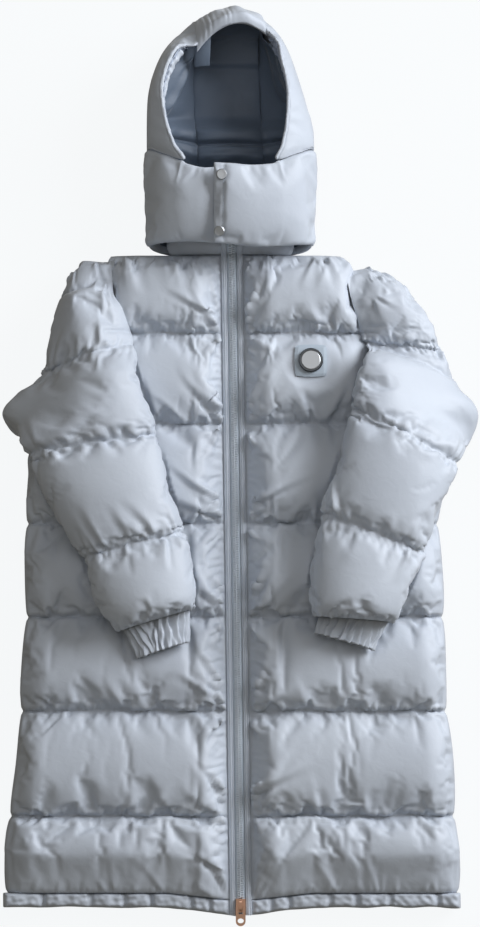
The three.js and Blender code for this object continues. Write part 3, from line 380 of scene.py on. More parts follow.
class Quilting:
    """A padded piece before it is filled: a grid of outer points and which of them its seams hold."""

    made = []

    def __init__(self, name, points, held, tube=False, growth=0.07, most=9):
        self.name, self.points, self.held, self.tube = name, points, held, tube
        self.before = points
        self.growth, self.most = growth, most
        Quilting.made.append(self)

    def faces(self):
        rows, columns = self.points.shape[:2]
        found = grid_faces(rows, columns, self.tube)
        index = np.arange(rows * columns).reshape(rows, columns)
        if self.tube:
            found += [tuple(index[0]), tuple(index[-1][::-1])]
        else:
            edge = [*index[0, :-1], *index[:-1, -1], *index[-1, :0:-1], *index[:0:-1, 0]]
            found.append(tuple(edge))
        return outward(self.points.reshape(-1, 3), found)


def grid_faces(rows, columns, tube=False):
    across = columns if tube else columns - 1
    faces = []
    for row in range(0, (rows - 1) * columns, columns):
        below = row + columns
        for c in range(across):
            d = (c + 1) % columns
            faces.append((row + c, below + c, below + d, row + d))
    return faces


def outward(points, faces):
    """The faces of a closed form, turned so that they point out. The last ones close its ends."""
    maker = bmesh.new()
    corners = [maker.verts.new(p) for p in points]
    for face in faces:
        maker.faces.new([corners[int(i)] for i in face])
    bmesh.ops.recalc_face_normals(maker, faces=maker.faces)
    maker.verts.index_update()
    turned = [tuple(v.index for v in f.verts) for f in maker.faces]
    if maker.calc_volume(signed=True) < 0:
        turned = [face[::-1] for face in turned]
    maker.free()
    return turned


def fill_quilting():
    """Fills every padded piece at once: cloth a little larger than its seams allow, blown up from inside."""
    trial = []
    for piece in Quilting.made:
        flat = piece.points.reshape(-1, 3) * 0.001
        mesh = bpy.data.meshes.new("filling")
        mesh.from_pydata(flat, [], piece.faces())
        body = bpy.data.objects.new("filling", mesh)
        coat_scene.collection.objects.link(body)
        group = body.vertex_groups.new(name="seams")
        for weight in np.unique(piece.held[piece.held > 0]):
            group.add(np.flatnonzero(piece.held.ravel() == weight).tolist(), float(weight), "REPLACE")
        cloth = body.modifiers.new("cloth", "CLOTH")
        settings = cloth.settings
        settings.vertex_group_mass = "seams"
        settings.use_pressure = True
        settings.uniform_pressure_force = 4
        settings.quality = 5
        settings.mass = 0.3
        settings.tension_stiffness = settings.compression_stiffness = 15
        settings.shear_stiffness = 5
        settings.bending_stiffness = 0.6
        settings.shrink_min = -piece.growth
        settings.effector_weights.gravity = 0
        cloth.collision_settings.use_collision = False
        cloth.point_cache.frame_start, cloth.point_cache.frame_end = 1, CACHE_FRAMES
        trial.append((piece, body))
    for at in range(1, FILL_FRAMES + 1):
        coat_scene.frame_set(at)
    graph = bpy.context.evaluated_depsgraph_get()
    for piece, body in trial:
        found = np.empty(piece.points.size, np.float32)
        body.evaluated_get(graph).data.vertices.foreach_get("co", found)
        moved = found.reshape(piece.points.shape) * 1000 - piece.points
        length = np.linalg.norm(moved, axis=-1, keepdims=True)
        eased = piece.most * np.tanh(length / piece.most)
        piece.points = piece.points + moved * eased / np.maximum(length, 1e-6)
        mesh = body.data
        bpy.data.objects.remove(body)
        bpy.data.meshes.remove(mesh)
    coat_scene.frame_set(1)


def lengths(points):
    """How far along the cloth each point of a grid is, across and down, in metres."""
    across = np.linalg.norm(np.diff(points, axis=1), axis=-1)
    down = np.linalg.norm(np.diff(points, axis=0), axis=-1)
    u = np.concatenate([np.zeros((len(points), 1)), np.cumsum(across, axis=1)], axis=1)
    v = np.concatenate([np.zeros((1, points.shape[1])), np.cumsum(down, axis=0)], axis=0)
    return np.stack([u - u[:, u.shape[1] // 2][:, None], v], axis=-1) * 0.001


def piece_from(maker, name, material):
    """A finished bmesh as an object of the scene."""
    mesh = bpy.data.meshes.new(name)
    maker.to_mesh(mesh)
    maker.free()
    mesh.materials.append(material)
    piece = bpy.data.objects.new(name, mesh)
    coat_scene.collection.objects.link(piece)
    return piece


def divided(piece, levels):
    finer = piece.modifiers.new("finer", "SUBSURF")
    finer.levels = finer.render_levels = levels


def cloth_mesh(name, points, material, tube=False, divide=1, closing=None, thick=0):
    """A piece of cloth from a grid of points in millimetres. closing says how its back is made."""
    rows, columns = points.shape[:2]
    place = lengths(points)
    maker = bmesh.new()
    corners = [maker.verts.new(p * 0.001) for p in points.reshape(-1, 3)]
    lay = maker.loops.layers.uv.new("cloth")
    for face in grid_faces(rows, columns, tube):
        made = maker.faces.new([corners[i] for i in face])
        made.smooth = True
        for loop, i in zip(made.loops, face):
            loop[lay].uv = place.reshape(-1, 2)[i]
    if closing == "ends":
        for r in (0, rows - 1):
            maker.faces.new([corners[r * columns + c] for c in range(columns)])
    piece = piece_from(maker, name, material)
    if thick:
        solid = piece.modifiers.new("ply", "SOLIDIFY")
        solid.thickness = thick * 0.001
        solid.offset = -1
    if divide:
        divided(piece, divide)
    apply_all(piece)
    if callable(closing):
        skirt(piece, closing)
    straighten(piece)
    return piece


def apply_all(piece):
    graph = bpy.context.evaluated_depsgraph_get()
    done = bpy.data.meshes.new_from_object(piece.evaluated_get(graph), depsgraph=graph)
    old = piece.data
    piece.modifiers.clear()
    piece.data = done
    done.name = piece.name
    bpy.data.meshes.remove(old)


def skirt(piece, height):
    """Closes a padded panel: its border goes down to the plane at height(x, y), which is closed flat."""
    maker = bmesh.new()
    maker.from_mesh(piece.data)
    border = [e for e in maker.edges if e.is_boundary]
    made = bmesh.ops.extrude_edge_only(maker, edges=border)["geom"]
    low = [v for v in made if isinstance(v, bmesh.types.BMVert)]
    for v in low:
        v.co.z = height(v.co.x * 1000, v.co.y * 1000) * 0.001
    rim = [e for e in made if isinstance(e, bmesh.types.BMEdge)]
    bmesh.ops.contextual_create(maker, geom=rim)
    maker.to_mesh(piece.data)
    maker.free()


def straighten(piece):
    maker = bmesh.new()
    maker.from_mesh(piece.data)
    bmesh.ops.recalc_face_normals(maker, faces=maker.faces)
    maker.to_mesh(piece.data)
    maker.free()
    for face in piece.data.polygons:
        face.use_smooth = True


def on_coat(piece, slot, *solids):
    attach(piece, "coat")
    if solids:
        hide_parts(*solids)
    return piece


# Materials
def linear(code):
    """A hex colour as linear light."""
    values = [int(code[i : i + 2], 16) / 255 for i in (0, 2, 4)]
    return [v / 12.92 if v <= 0.04045 else ((v + 0.055) / 1.055) ** 2.4 for v in values] + [1]


def finish_named(name):
    material = bpy.data.materials.new(name)
    material.use_nodes = True
    tree = material.node_tree
    return material, tree, tree.nodes["Principled BSDF"]


def add_node(tree, kind, links=(), **settings):
    """A node with its settings; links are (its input, the socket that feeds it)."""
    node = tree.nodes.new(kind)
    for name, value in settings.items():
        if hasattr(node, name):
            setattr(node, name, value)
        else:
            node.inputs[name.replace("_", " ")].default_value = value
    for name, source in links:
        tree.links.new(source, node.inputs[name])
    return node


def nylon(name, colour, shade, roughness=0.55, crumple=0.2):
    """Fine calendered nylon taffeta: a satin gloss, slightly uneven in colour, with shallow crumples."""
    material, tree, cloth = finish_named(name)
    where = add_node(tree, "ShaderNodeTexCoord")
    spot = [("Vector", where.outputs["Object"])]
    patch = add_node(tree, "ShaderNodeTexNoise", spot, Scale=7.0, Detail=3.0)
    ramp = add_node(tree, "ShaderNodeValToRGB", [("Fac", patch.outputs["Fac"])])
    ramp.color_ramp.elements[0].color = linear(shade)
    ramp.color_ramp.elements[1].color = linear(colour)
    ramp.color_ramp.elements[0].position = 0.3
    ramp.color_ramp.elements[1].position = 0.7
    tree.links.new(ramp.outputs["Color"], cloth.inputs["Base Color"])
    cloth.inputs["Roughness"].default_value = roughness
    cloth.inputs["IOR"].default_value = 1.45
    cloth.inputs["Sheen Weight"].default_value = 0.2
    cloth.inputs["Sheen Roughness"].default_value = 0.4
    # Crumples 14 mm across and finer, then a weave at 1.2 mm, because the real one is too fine to show.
    large = add_node(tree, "ShaderNodeTexNoise", spot, Scale=70.0, Detail=4.0, Roughness=0.55, Distortion=0.8)
    along = [("Vector", where.outputs["UV"])]
    weave = add_node(tree, "ShaderNodeTexWave", along, Scale=260.0, Distortion=0.4)
    height = [("Height", large.outputs["Fac"])]
    rough = add_node(tree, "ShaderNodeBump", height, Strength=crumple, Distance=0.004)
    height = [("Height", weave.outputs["Fac"]), ("Normal", rough.outputs["Normal"])]
    fine = add_node(tree, "ShaderNodeBump", height, Strength=0.05, Distance=0.0004)
    tree.links.new(fine.outputs["Normal"], cloth.inputs["Normal"])
    return material


def woven_tape(name, colour):
    """Woven polyester zip tape: matt, with ribs 1.4 mm apart along it."""
    material, tree, cloth = finish_named(name)
    where = add_node(tree, "ShaderNodeTexCoord")
    spot = [("Vector", where.outputs["Object"])]
    ribs = add_node(tree, "ShaderNodeTexWave", spot, Scale=224.0, Distortion=0.3)
    height = [("Height", ribs.outputs["Fac"])]
    raised = add_node(tree, "ShaderNodeBump", height, Strength=0.3, Distance=0.0005)
    tree.links.new(raised.outputs["Normal"], cloth.inputs["Normal"])
    cloth.inputs["Base Color"].default_value = linear(colour)
    cloth.inputs["Roughness"].default_value = 0.75
    return material


def moulded(name, colour, roughness, metallic=0.0, grain=0.05):
    """A moulded or plated part: one colour, with a faint uneven gloss from handling."""
    material, tree, part = finish_named(name)
    where = add_node(tree, "ShaderNodeTexCoord")
    spot = [("Vector", where.outputs["Object"])]
    worn = add_node(tree, "ShaderNodeTexNoise", spot, Scale=420.0, Detail=2.0)
    span = add_node(tree, "ShaderNodeMapRange", [("Value", worn.outputs["Fac"])])
    span.inputs["To Min"].default_value = roughness - grain
    span.inputs["To Max"].default_value = roughness + grain
    tree.links.new(span.outputs["Result"], part.inputs["Roughness"])
    part.inputs["Base Color"].default_value = linear(colour)
    part.inputs["Metallic"].default_value = metallic
    return material


SHELL = nylon("shell nylon taffeta", "BDC4CD", "B4BBC5", 0.52, 0.1)
# The lining cloth is the same light blue as the shell; its colour here is painted darker to stand for the
# shade that falls inside the hood.
LINING_DARKENED_AS_PAINTED_SHADE = nylon("lining nylon taffeta, darkened as painted shade", "5F6B7B", "55616F", 0.55, 0.15)
FACING = nylon("facing nylon taffeta", "A9B3C4", "9AA5B8", 0.5, 0.25)
# The tape's and the teeth's colours are painted lighter than their own, to lift the shade that falls in the
# zip's channel between the plackets.
TAPE = woven_tape("woven polyester tape, painted lighter against shade", "BFCAD5")
TEETH = moulded("moulded acetal teeth, painted lighter against shade", "DCE3EA", 0.35)
ROSE_GOLD = moulded("rose gold plate", "DDB095", 0.3, 1.0)
GUNMETAL = moulded("gunmetal plate", "55585A", 0.34, 1.0)
SATIN_METAL = moulded("satin nickel plate", "B3B6B8", 0.42, 1.0)
RUBBER = moulded("soft moulded rubber", "AAB6C1", 0.55)
THREAD = moulded("polyester thread", "A9B5C3", 0.6)


# Fronts
badge = nodes["badge_patch"]
badge_corners = [tuple(badge.matrix_world @ Vector(corner)) for corner in badge.bound_box]
BADGE_AT = np.mean(badge_corners, axis=0) * 1000


def outline_of_sleeve(side):
    """The sleeve and cuff seen from above, as a loop of points."""
    row = SLEEVE[side]
    end = CUFF_END[side]
    inner = [*zip(row["innerX"], row["innerY"]), (end["innerX"], end["innerY"])]
    outer = [*zip(row["outerX"], row["outerY"]), (end["outerX"], end["outerY"])]
    return np.array(inner + outer[::-1], float)


def inside_loop(x, y, loop):
    found = np.zeros(np.shape(x), bool)
    for (ax, ay), (bx, by) in zip(loop, np.roll(loop, -1, axis=0)):
        crosses = (ay > y) != (by > y)
        at = ax + (y - ay) * (bx - ax) / (by - ay if by != ay else 1e-9)
        found ^= crosses & (x < at)
    return found


def front_grid(side):
    count = [round((b - a) / SHOWN_STEP) for a, b in zip(QUILT_DOWN, QUILT_DOWN[1:])]
    down = steps(QUILT_DOWN, count)[:, None]
    y = NECK_Y - down
    reach = front_reach(side, down)
    share = np.linspace(0, 1, FRONT_COLUMNS)[None, :] ** 0.95
    away = CHANNEL_HALF + (reach - CHANNEL_HALF) * share
    away = np.concatenate([0 * reach + PLY_GAP / 2, 0 * reach + CHANNEL_MIDDLE, away], axis=1)
    down, reach, y = (np.broadcast_to(v, away.shape) for v in (down, reach, y))
    x = zip_x(y) + side * away
    lift = front_lift(away, reach, down, FRONT_PUFF, sagging(QUILT_DOWN, down))
    off = to_line(QUILT_DOWN, down)
    seamed = np.exp(-off / 5)
    lift = lift + 0.9 * seamed * ripple(x, 0 * x, 34, 3 + side) * smooth(18, 40, away)
    slump = blend(SLUMP, LAST_SLUMP, down > QUILT_DOWN[-2])
    slump = slump * smooth(0, 40, lift - ZIP_SEAT) * smooth(0, 24, off)
    wave = 1.3 * seamed * ripple(x, 0 * x, 60, 9 + side) * smooth(18, 40, away)
    wave = wave * (down > 1) * (down < HEM_SEAM_DOWN - 1)
    points = np.stack([x, dipped(x, down) - slump + wave, inside_z(y) + PLY_GAP + lift], axis=-1)
    held = np.zeros(away.shape)
    held[:, :3] = 1
    held[:, -1] = 1
    held[off[:, 5] < 0.1] = 1
    for column, weight in HELD_BESIDE_ZIP:
        held[:, column] = np.maximum(held[:, column], weight)
    return points, held, down, away, reach


def front_marks(side):
    """Puckers along the quilting lines, and the long folds that the zip pulls out of the baffles."""
    lots = np.random.default_rng(21 + side)
    marks = []
    for line in QUILT_DOWN[1:]:
        marks += seam_marks(lots, line, 20, 320, 12, 24, 3.0, 2.6, -1)
        if line < HEM_SEAM_DOWN:
            marks += seam_marks(lots, line, 20, 320, 14, 16, 2.8, 2.2, 1)
    for line in QUILT_DOWN[1:]:
        for place in (-34, -22, -12, -4, 6):
            turn = -lots.uniform(28, 72)
            u, v = 15 + lots.uniform(0, 10), line + place + lots.uniform(-5, 5)
            marks.append(fold(lots, u, v, turn, (55, 120), (3, 5.4), (4, 8), (-16, 34)))
        for _ in range(3):
            u, turn = lots.uniform(60, 200), -lots.uniform(50, 130)
            marks.append(fold(lots, u, line, turn, (45, 85), (3.2, 5.5), (2.5, 5), (-16, 16)))
        for _ in range(4):
            u, v, turn = 15 + lots.uniform(0, 8), line + lots.uniform(2, 22), lots.uniform(12, 70)
            marks.append(fold(lots, u, v, turn, (30, 70), (3, 5), (3, 6), (-14, 14)))
    for _ in range(12):
        u, v, turn = lots.uniform(20, 170), lots.uniform(2, 8), lots.uniform(55, 125)
        marks.append(fold(lots, u, v, turn, (25, 60), (3, 5.5), (3, 6), (-9, 9)))
    return marks


def finish_front(side, quilting, down, away, reach):
    calm = (1 - 0.85 * smooth(*CALM_OVER_HEM, down))[..., None]
    filled = quilting.before + (quilting.points - quilting.before) * calm
    points, down, away, reach = (twice(v) for v in (filled, down, away, reach))
    off = to_line(QUILT_DOWN, down)
    free = smooth(0, 10, reach - away) * smooth(CHANNEL_HALF, CHANNEL_HALF + 7, away)
    free = free * smooth(-1, 2.5, off)
    free = free * (1 - 0.4 * smooth(860, 900, down))
    out = facing_out(points, np.array([0, 0, 1.0]))
    points = points + out * (free * creases(away, down, front_marks(side)))[..., None]
    x, y, z = points[..., 0], points[..., 1], points[..., 2]
    covered = inside_loop(x, y, outline_of_sleeve(side))
    solid = inside_z(y) + PLY_GAP + front_lift(away, reach, down)
    z = np.where(covered, np.minimum(z, solid - 0.5), np.minimum(z, solid + 10))
    near_badge = smooth(*BADGE_SEAT, np.hypot(x - BADGE_AT[0], y - BADGE_AT[1])) * (side > 0)
    z = blend(z, solid - 0.4, near_badge)
    z = np.maximum(z, inside_z(y) + PLY_GAP + 1.5)
    return np.stack([x, y, z], axis=-1)


def make_fronts():
    found = {}
    for side in (-1, 1):
        points, held, down, away, reach = front_grid(side)
        found[side] = (Quilting(f"front{side}", points, held), down, away, reach)
    return found


# Sleeves
def inset_at(x, y):
    down = np.clip((NECK_Y - y) / HEM_DOWN, 0, 1) * HEM_DOWN
    reach = np.where(x < BODY_X, half_width(-1, down), half_width(1, down))
    return reach - np.abs(x - BODY_X)


def support(x, y, outside, within):
    height = inside_z(np.minimum(y, NECK_Y)) + CROWN_LIFT + 2 * PLY_GAP
    t = np.clip((inset_at(x, y) + outside) / (within + outside), 0, 1)
    return height * t * t * (3 - 2 * t)


def sleeve_section(side, at):
    section = {name: float(read(SLEEVE_AT, values, at)) for name, values in SLEEVE[side].items()}
    inset = float(inset_at(section["innerX"], section["innerY"]))
    over = float(smooth(*FOLD_OVER, inset))
    section["innerX"] += math.copysign(1, section["innerX"]) * (inset - ARMHOLE_LAP) * (1 - over)
    pinch = NOTCH * (1 - float(fullness(SLEEVE_QUILT, at))) / abs(section["outerX"] - section["innerX"])
    return narrowed(section, pinch * (over > 0), pinch), over


def narrowed(section, inner, outer):
    ix, iy, ox, oy = (section[name] for name in ("innerX", "innerY", "outerX", "outerY"))
    return {
        "innerX": blend(ix, ox, inner),
        "innerY": blend(iy, oy, inner),
        "outerX": blend(ox, ix, outer),
        "outerY": blend(oy, iy, outer),
    }


def sleeve_ring(section, over, thickness, turn):
    under, upper = ([blend(a, b, over) for a, b in zip(*SLOPES[name])] for name in ("under", "upper"))
    edge = blend(*EDGE_SHARE, over)
    share = (1 - np.cos(turn)) / 2
    x = blend(section["innerX"], section["outerX"], share)
    y = blend(section["innerY"], section["outerY"], share)
    low = support(x, y, *under)
    tall = np.maximum(LEAST_SLEEVE, thickness + support(x, y, *upper) - low)
    round_off = np.abs(np.sin(turn))
    above = np.sin(turn) >= 0
    up = np.where(above, edge + (1 - edge) * round_off**0.85, edge - edge * round_off**0.5)
    return np.stack([x, y, low + PLY_GAP + tall * up], axis=-1)


def make_sleeves():
    found = {}
    turn = np.linspace(0, 2 * np.pi, SLEEVE_AROUND, endpoint=False)
    for side in (-1, 1):
        at = steps(SLEEVE_QUILT, SLEEVE_STEPS)
        rings = []
        for place in at:
            section, over = sleeve_section(side, place)
            least = blend(SLEEVE_SEAM, SLEEVE_END, float(smooth(9, 10, place)))
            thickness = blend(least, SLEEVE_PUFF, float(sagging(SLEEVE_QUILT, place)))
            tip = blend(0.45, 0.96, float(quarter_round(place / 1.2)))
            rings.append(sleeve_ring(section, over, thickness * tip, turn))
        points = lapped(side, np.array(rings), at, turn)
        run = np.cumsum(np.linalg.norm(np.diff(points[40], axis=0, append=points[40][:1]), axis=1))
        close = (np.exp(-to_line(SLEEVE_QUILT, at) / 0.12) * (at > 0.5) * (at < 9.9))[:, None]
        along = unit(np.gradient(points, axis=0))
        points = points + along * (2.2 * close * ripple(run, 0 * run, 58, 51 + side)[None, :])[..., None]
        held = np.zeros(points.shape[:2])
        held[np.isin(np.round(at, 6), SLEEVE_QUILT)] = 1
        near = np.flatnonzero(held[:, 0] == 1)[1:-1]
        held[near - 1], held[near + 1] = 0.5, 0.5
        held[:, np.sin(turn) < -0.25] = 1
        held[at < ARMHOLE_END, :4] = 1
        held[at < ARMHOLE_END, -4:] = 1
        found[side] = (Quilting(f"sleeve{side}", points, held, tube=True, growth=0.07, most=8), at, turn)
    return found


def body_top(side, x, y):
    down = np.clip(NECK_Y - y, 0, HEM_DOWN)
    return inside_z(y) + PLY_GAP + front_lift(np.abs(x - zip_x(y)), front_reach(side, down), down)


def lower_of(a, b, soft=8.0):
    return (a + b - np.sqrt((a - b) ** 2 + soft**2)) / 2


def lapped(side, points, at, turn):
    """At the armhole the sleeve's inner edge lies on the rounded side of the front."""
    share = (1 - np.cos(turn))[None, :] / 2
    joined = (1 - smooth(2.9, 3.9, at))[:, None]
    points = points.copy()
    points[..., 0] -= side * 8 * joined * (1 - share) ** 3
    x, y, z = points[..., 0], np.minimum(points[..., 1], NECK_Y), points[..., 2]
    above = (np.sin(turn) >= 0)[None, :]
    on_body = body_top(side, x, y) + 1
    crest = blend(*LAP_CREST, smooth(0, 4.4, at))[:, None]
    lowered = lower_of(z, crest)
    top = slice(LAP_COLUMNS, LAP_COLUMNS + 1)
    reached = np.clip(share / share[:, top], 0, 1)
    arch = blend(on_body[:, :1], lowered[:, top], (reached + quarter_round(reached)) / 2)
    arch = np.maximum(arch, blend(0, on_body, smooth(0, 4, inset_at(x, y))))
    lowered = np.where(above & (reached < 1), arch, lowered)
    under = np.roll(lowered[:, ::-1], 1, axis=1) - 5
    points[..., 2] = blend(z, np.where(above, lowered, np.maximum(np.minimum(z, under), 1)), joined)
    return points


def sleeve_marks(side, around, length):
    lots = np.random.default_rng(71 + side)
    marks = []
    for line in (3, 6, 8):
        place = line * length / 10
        marks += seam_marks(lots, place, -10, around / 2 + 10, 13, 28, 3.4, 3.2, -1)
        marks += seam_marks(lots, place, -10, around / 2 + 10, 15, 20, 3.2, 2.8, 1)
        for _ in range(5):
            u, v = lots.uniform(0, around / 2), place + lots.uniform(-8, 4)
            turn = -90 + lots.uniform(-50, 50)
            marks.append(fold(lots, u, v, turn, (30, 62), (3.4, 5.4), (3, 6.5), (-12, 12)))
            u, v = lots.uniform(0, around / 2), place + lots.uniform(-4, 6)
            turn = 90 + lots.uniform(-55, 55)
            marks.append(fold(lots, u, v, turn, (25, 50), (4, 6), (3, 6.5), (-12, 12)))
    marks += seam_marks(lots, length, -10, around / 2 + 10, 15, 24, 3.6, 3.4, -1)
    for _ in range(9):
        u, v = lots.uniform(10, around / 2), lots.uniform(0, length * 0.12)
        turn = 90 + lots.uniform(-40, 40)
        marks.append(fold(lots, u, v, turn, (30, 80), (4, 7), (2.5, 6), (-10, 10)))
    return marks


def finish_sleeve(side, quilting, at, turn):
    share = (1 - np.cos(turn)) / 2
    seamed = ((1 - smooth(2.9, 3.5, at))[:, None] * (1 - smooth(0.03, 0.2, share))[None, :])[..., None]
    points = quilting.before + (quilting.points - quilting.before) * (1 - seamed)
    points, seamed = twice(points, tube=True), twice(seamed, tube=True)[..., 0]
    at = np.interp(np.arange(len(points)) / 2, np.arange(len(at)), at)
    turn = np.arange(points.shape[1]) * 2 * np.pi / points.shape[1]
    around = float(np.linalg.norm(np.diff(points[120], axis=0), axis=1).sum())
    length = float(np.linalg.norm(np.diff(points[:, 20], axis=0), axis=1).sum())
    u = around * turn[None, :] / (2 * np.pi) + 0 * at[:, None]
    v = length * at[:, None] / 10 + 0 * turn[None, :]
    off = to_line(np.array(SLEEVE_QUILT) * length / 10, v)
    top = smooth(-0.15, 0.2, np.sin(turn))[None, :] * smooth(-1, 2.5, off)
    out = facing_out(points, points - points.mean(axis=1, keepdims=True))
    swell = creases(u, v, sleeve_marks(side, around, length))
    return points + out * (swell * top * (1 - 0.7 * seamed))[..., None]


def shirred(run, t, seed):
    """Sharp uneven pleats that meet at three rows of elastic, from -0.5 to 1."""
    total = 0
    for row in range(ELASTIC_ROWS):
        lots = np.random.default_rng(seed + row)
        knots = np.cumsum(lots.uniform(2.6, 6.4, PLEATS))
        knots *= CUFF_ROUND / (knots[-1] + 4)
        high, low = lots.uniform(0.4, 1, PLEATS), lots.uniform(-0.5, 0.1, PLEATS)
        crests = np.where(np.arange(PLEATS) % 2, high, low)
        lean = 5 * ripple(run, 0 * run, 60, seed + 7 + row)
        past = 2 * t - row
        pleats = np.interp(run + lean * past, knots, crests, period=CUFF_ROUND)
        total = total + pleats * max(0, 1 - abs(past))
    return total


def make_cuff(side):
    start, _ = sleeve_section(side, 10)
    end = CUFF_END[side]
    lengthways = unit(np.array([end["innerX"] - start["innerX"], end["innerY"] - start["innerY"], 0]))
    turn = np.linspace(0, 2 * np.pi, CUFF_AROUND, endpoint=False)
    rings = []
    for t in np.concatenate([np.linspace(0, 1, CUFF_RINGS), [1.0, 0.85, 0.4, -0.3, -1.2]]):
        back = len(rings) >= CUFF_RINGS
        section = {name: blend(start[name], end[name], t) for name in start}
        inset = CUFF_INSET + (0.07 if back else 0) + (0.03 if t < 0 else 0)
        ring = sleeve_ring(narrowed(section, inset, inset), 1.0, CUFF_THICK - (9 if back else 0), turn)
        if back:
            ring[:, 2] += 4.0
        middle = ring.mean(axis=0)
        away = ring - middle
        away /= np.linalg.norm(away, axis=1, keepdims=True)
        run = CUFF_ROUND * turn / (2 * math.pi)
        pull = 0.6 + 0.4 * abs(math.sin(t * math.pi * 2.0)) if 0 <= t <= 1 else 0.3
        height = (8.0 if not back else 1.2) * pull
        pleats = shirred(run, min(max(t, 0), 1), 81 + 20 * side)
        scallop = 3.0 * max(t, 0) * (pleats - 0.3) * (not back)
        rings.append(ring + away * (height * (pleats - 0.6))[:, None] + lengthways * scallop[:, None])
    points = np.array(rings)
    points[..., 2] = np.maximum(points[..., 2], 1)
    return points


# Hem casing
HEM_TUCKS = [44, 70, 128, 166, 214, 282]
TUCK_HALF = 4
TUCK_SHARE = 0.5
CASING_THICK = 19
CASING_COLUMNS = 118
CASING_ROWS = 11


def casing_grid(side, near, thickness, seat):
    reach = float(half_width(side, HEM_DOWN)) + side * (BODY_X - ZIP_X_AT_HEM)
    away = np.linspace(near, reach, CASING_COLUMNS)[:, None]
    v = np.linspace(0, 1, CASING_ROWS)[None, :]
    down = blend(HEM_SEAM_DOWN + PLY_GAP, HEM_DOWN, v)
    x = zip_x(NECK_Y - down) + side * away
    nearest = np.min(np.abs(away[..., None] - np.array(HEM_TUCKS)), axis=-1)
    tuck = blend(TUCK_SHARE, 1, np.clip(nearest / (TUCK_HALF * 1.6), 0, 1) ** 0.6)
    round_off = np.sqrt(np.clip(1 - np.abs(2 * v - 1) ** blend(9, 3, v), 0, 1))
    end = quarter_round((reach - away) / 8)
    wave = 1 + 0.09 * ripple(away, 0 * away, 26, 41 + side) + 0.06 * ripple(away, 18 * v, 11, 43 + side)
    swell = thickness * blend(0.62, 1, round_off) * tuck * blend(0.3, 1, end) * wave
    padding = np.maximum(EDGE_THICK, swell)
    if seat:
        padding = blend(seat, padding, smooth(CHANNEL_HALF, CHANNEL_HALF + 6, away))
    sag = 1.2 * ripple(away, 0 * away, 70, 47 + side) * v
    return x, dipped(x, down) + sag, padding


def make_hem_front(side):
    x, y, thick = casing_grid(side, PLY_GAP / 2, CASING_THICK, ZIP_SEAT)
    return np.stack([x, y, inside_z(y) + PLY_GAP + thick], axis=-1)


def make_hem_back():
    parts = [casing_grid(-1, 0.01, INSIDE_AT_HEM, 0), casing_grid(1, 0.01, INSIDE_AT_HEM, 0)]
    grids = [np.stack([x, y, np.maximum(inside_z(y) - thick, 0.1)], axis=-1) for x, y, thick in parts]
    return np.concatenate([grids[0][:0:-1], grids[1]], axis=0)


# Back
def make_back():
    count = [round((b - a) / 5) for a, b in zip(QUILT_DOWN, QUILT_DOWN[1:])]
    down = steps(QUILT_DOWN, count)[:, None]
    y = NECK_Y - down
    full = fullness(QUILT_DOWN, down)
    share = np.linspace(-1, 1, BACK_COLUMNS)[None, :]
    share = np.sign(share) * (1 - (1 - np.abs(share)) ** 1.15)
    reach = np.where(share < 0, half_width(-1, down), half_width(1, down)) - NOTCH * (1 - full)
    x = BODY_X + share * reach
    inset = reach * (1 - np.abs(share))
    neck = quarter_round(down / NECK_ROUND)
    thick = np.maximum(EDGE_THICK, inside_z(y) * quarter_round(inset / SIDE_ROUND) * blend(0.55, 1, neck))
    off = to_line(QUILT_DOWN, down) + 0 * x
    channel = np.exp(-((off / 9) ** 2)) * smooth(0, 20, inset)
    lots = np.random.default_rng(91)
    marks = []
    for line in QUILT_DOWN[1:-1]:
        for way in (-1, 1):
            marks += seam_marks(lots, line, -330, 330, 16, 26, 4.5, 3.2, way)
    uneven = creases(x, down + 0 * x, marks) + 0.8 * ripple(x, y, 80, 93)
    crease = np.maximum(0, uneven) * smooth(0, 10, inset)
    z = inside_z(y) - thick + 5.5 * channel + crease
    z = np.clip(z, 0, inside_z(y) - 1)
    return np.stack([x, dipped(x, down), z], axis=-1)


# Hood
def hood_row(name, at):
    return read(HOOD_AT, HOOD_SIDE[name], at)


def hood_point(side, at, share):
    at, share = np.broadcast_arrays(np.asarray(at, float), np.asarray(share, float))
    row = {name: hood_row(name, at) for name in HOOD_SIDE}
    middle, up = row["middle"], side * row["lean"]
    seam = np.stack([middle + side * (CROWN_HALF + PLY_GAP), row["seamY"] + up, row["seamZ"]], axis=-1)
    wide = np.stack([middle + side * row["wideX"], row["wideY"] + up, row["wideZ"]], axis=-1)
    edge = np.stack([middle + side * row["edgeX"], row["edgeY"] + up, row["edgeZ"]], axis=-1)
    bend = wide * 2 - seam * 0.5 - edge * 0.5
    s = share[..., None]
    place = seam * (1 - s) ** 2 + bend * 2 * s * (1 - s) + edge * s * s
    place[..., 2] = np.maximum(place[..., 2], 0)
    return place


def unit(v):
    return v / np.maximum(np.linalg.norm(v, axis=-1, keepdims=True), 1e-9)


def to_neck_axis(p):
    axis = np.stack([0 * p[..., 0] + HOOD_X, p[..., 1], 0 * p[..., 2] + NECK_AXIS_Z], axis=-1)
    return unit(axis - p)


def hood_inward(side, at, share):
    step = 0.02
    ahead, behind = np.minimum(at + step, 10), np.maximum(at - step, 0)
    u = hood_point(side, ahead, share) - hood_point(side, behind, share)
    ahead, behind = np.minimum(share + step, 1), np.maximum(share - step, 0)
    v = hood_point(side, at, ahead) - hood_point(side, at, behind)
    inward = unit(np.cross(u, v)) * (1 if side > 0 else -1)
    inward[share <= 0] *= [0, 1, 1]
    neck = (share > 0.5) & (at >= OPENING_END)
    inward = np.where(neck[..., None], to_neck_axis(hood_point(side, at, share)), inward)
    return unit(inward)


def hood_taper(at):
    return smooth(-1, 1.4, at)


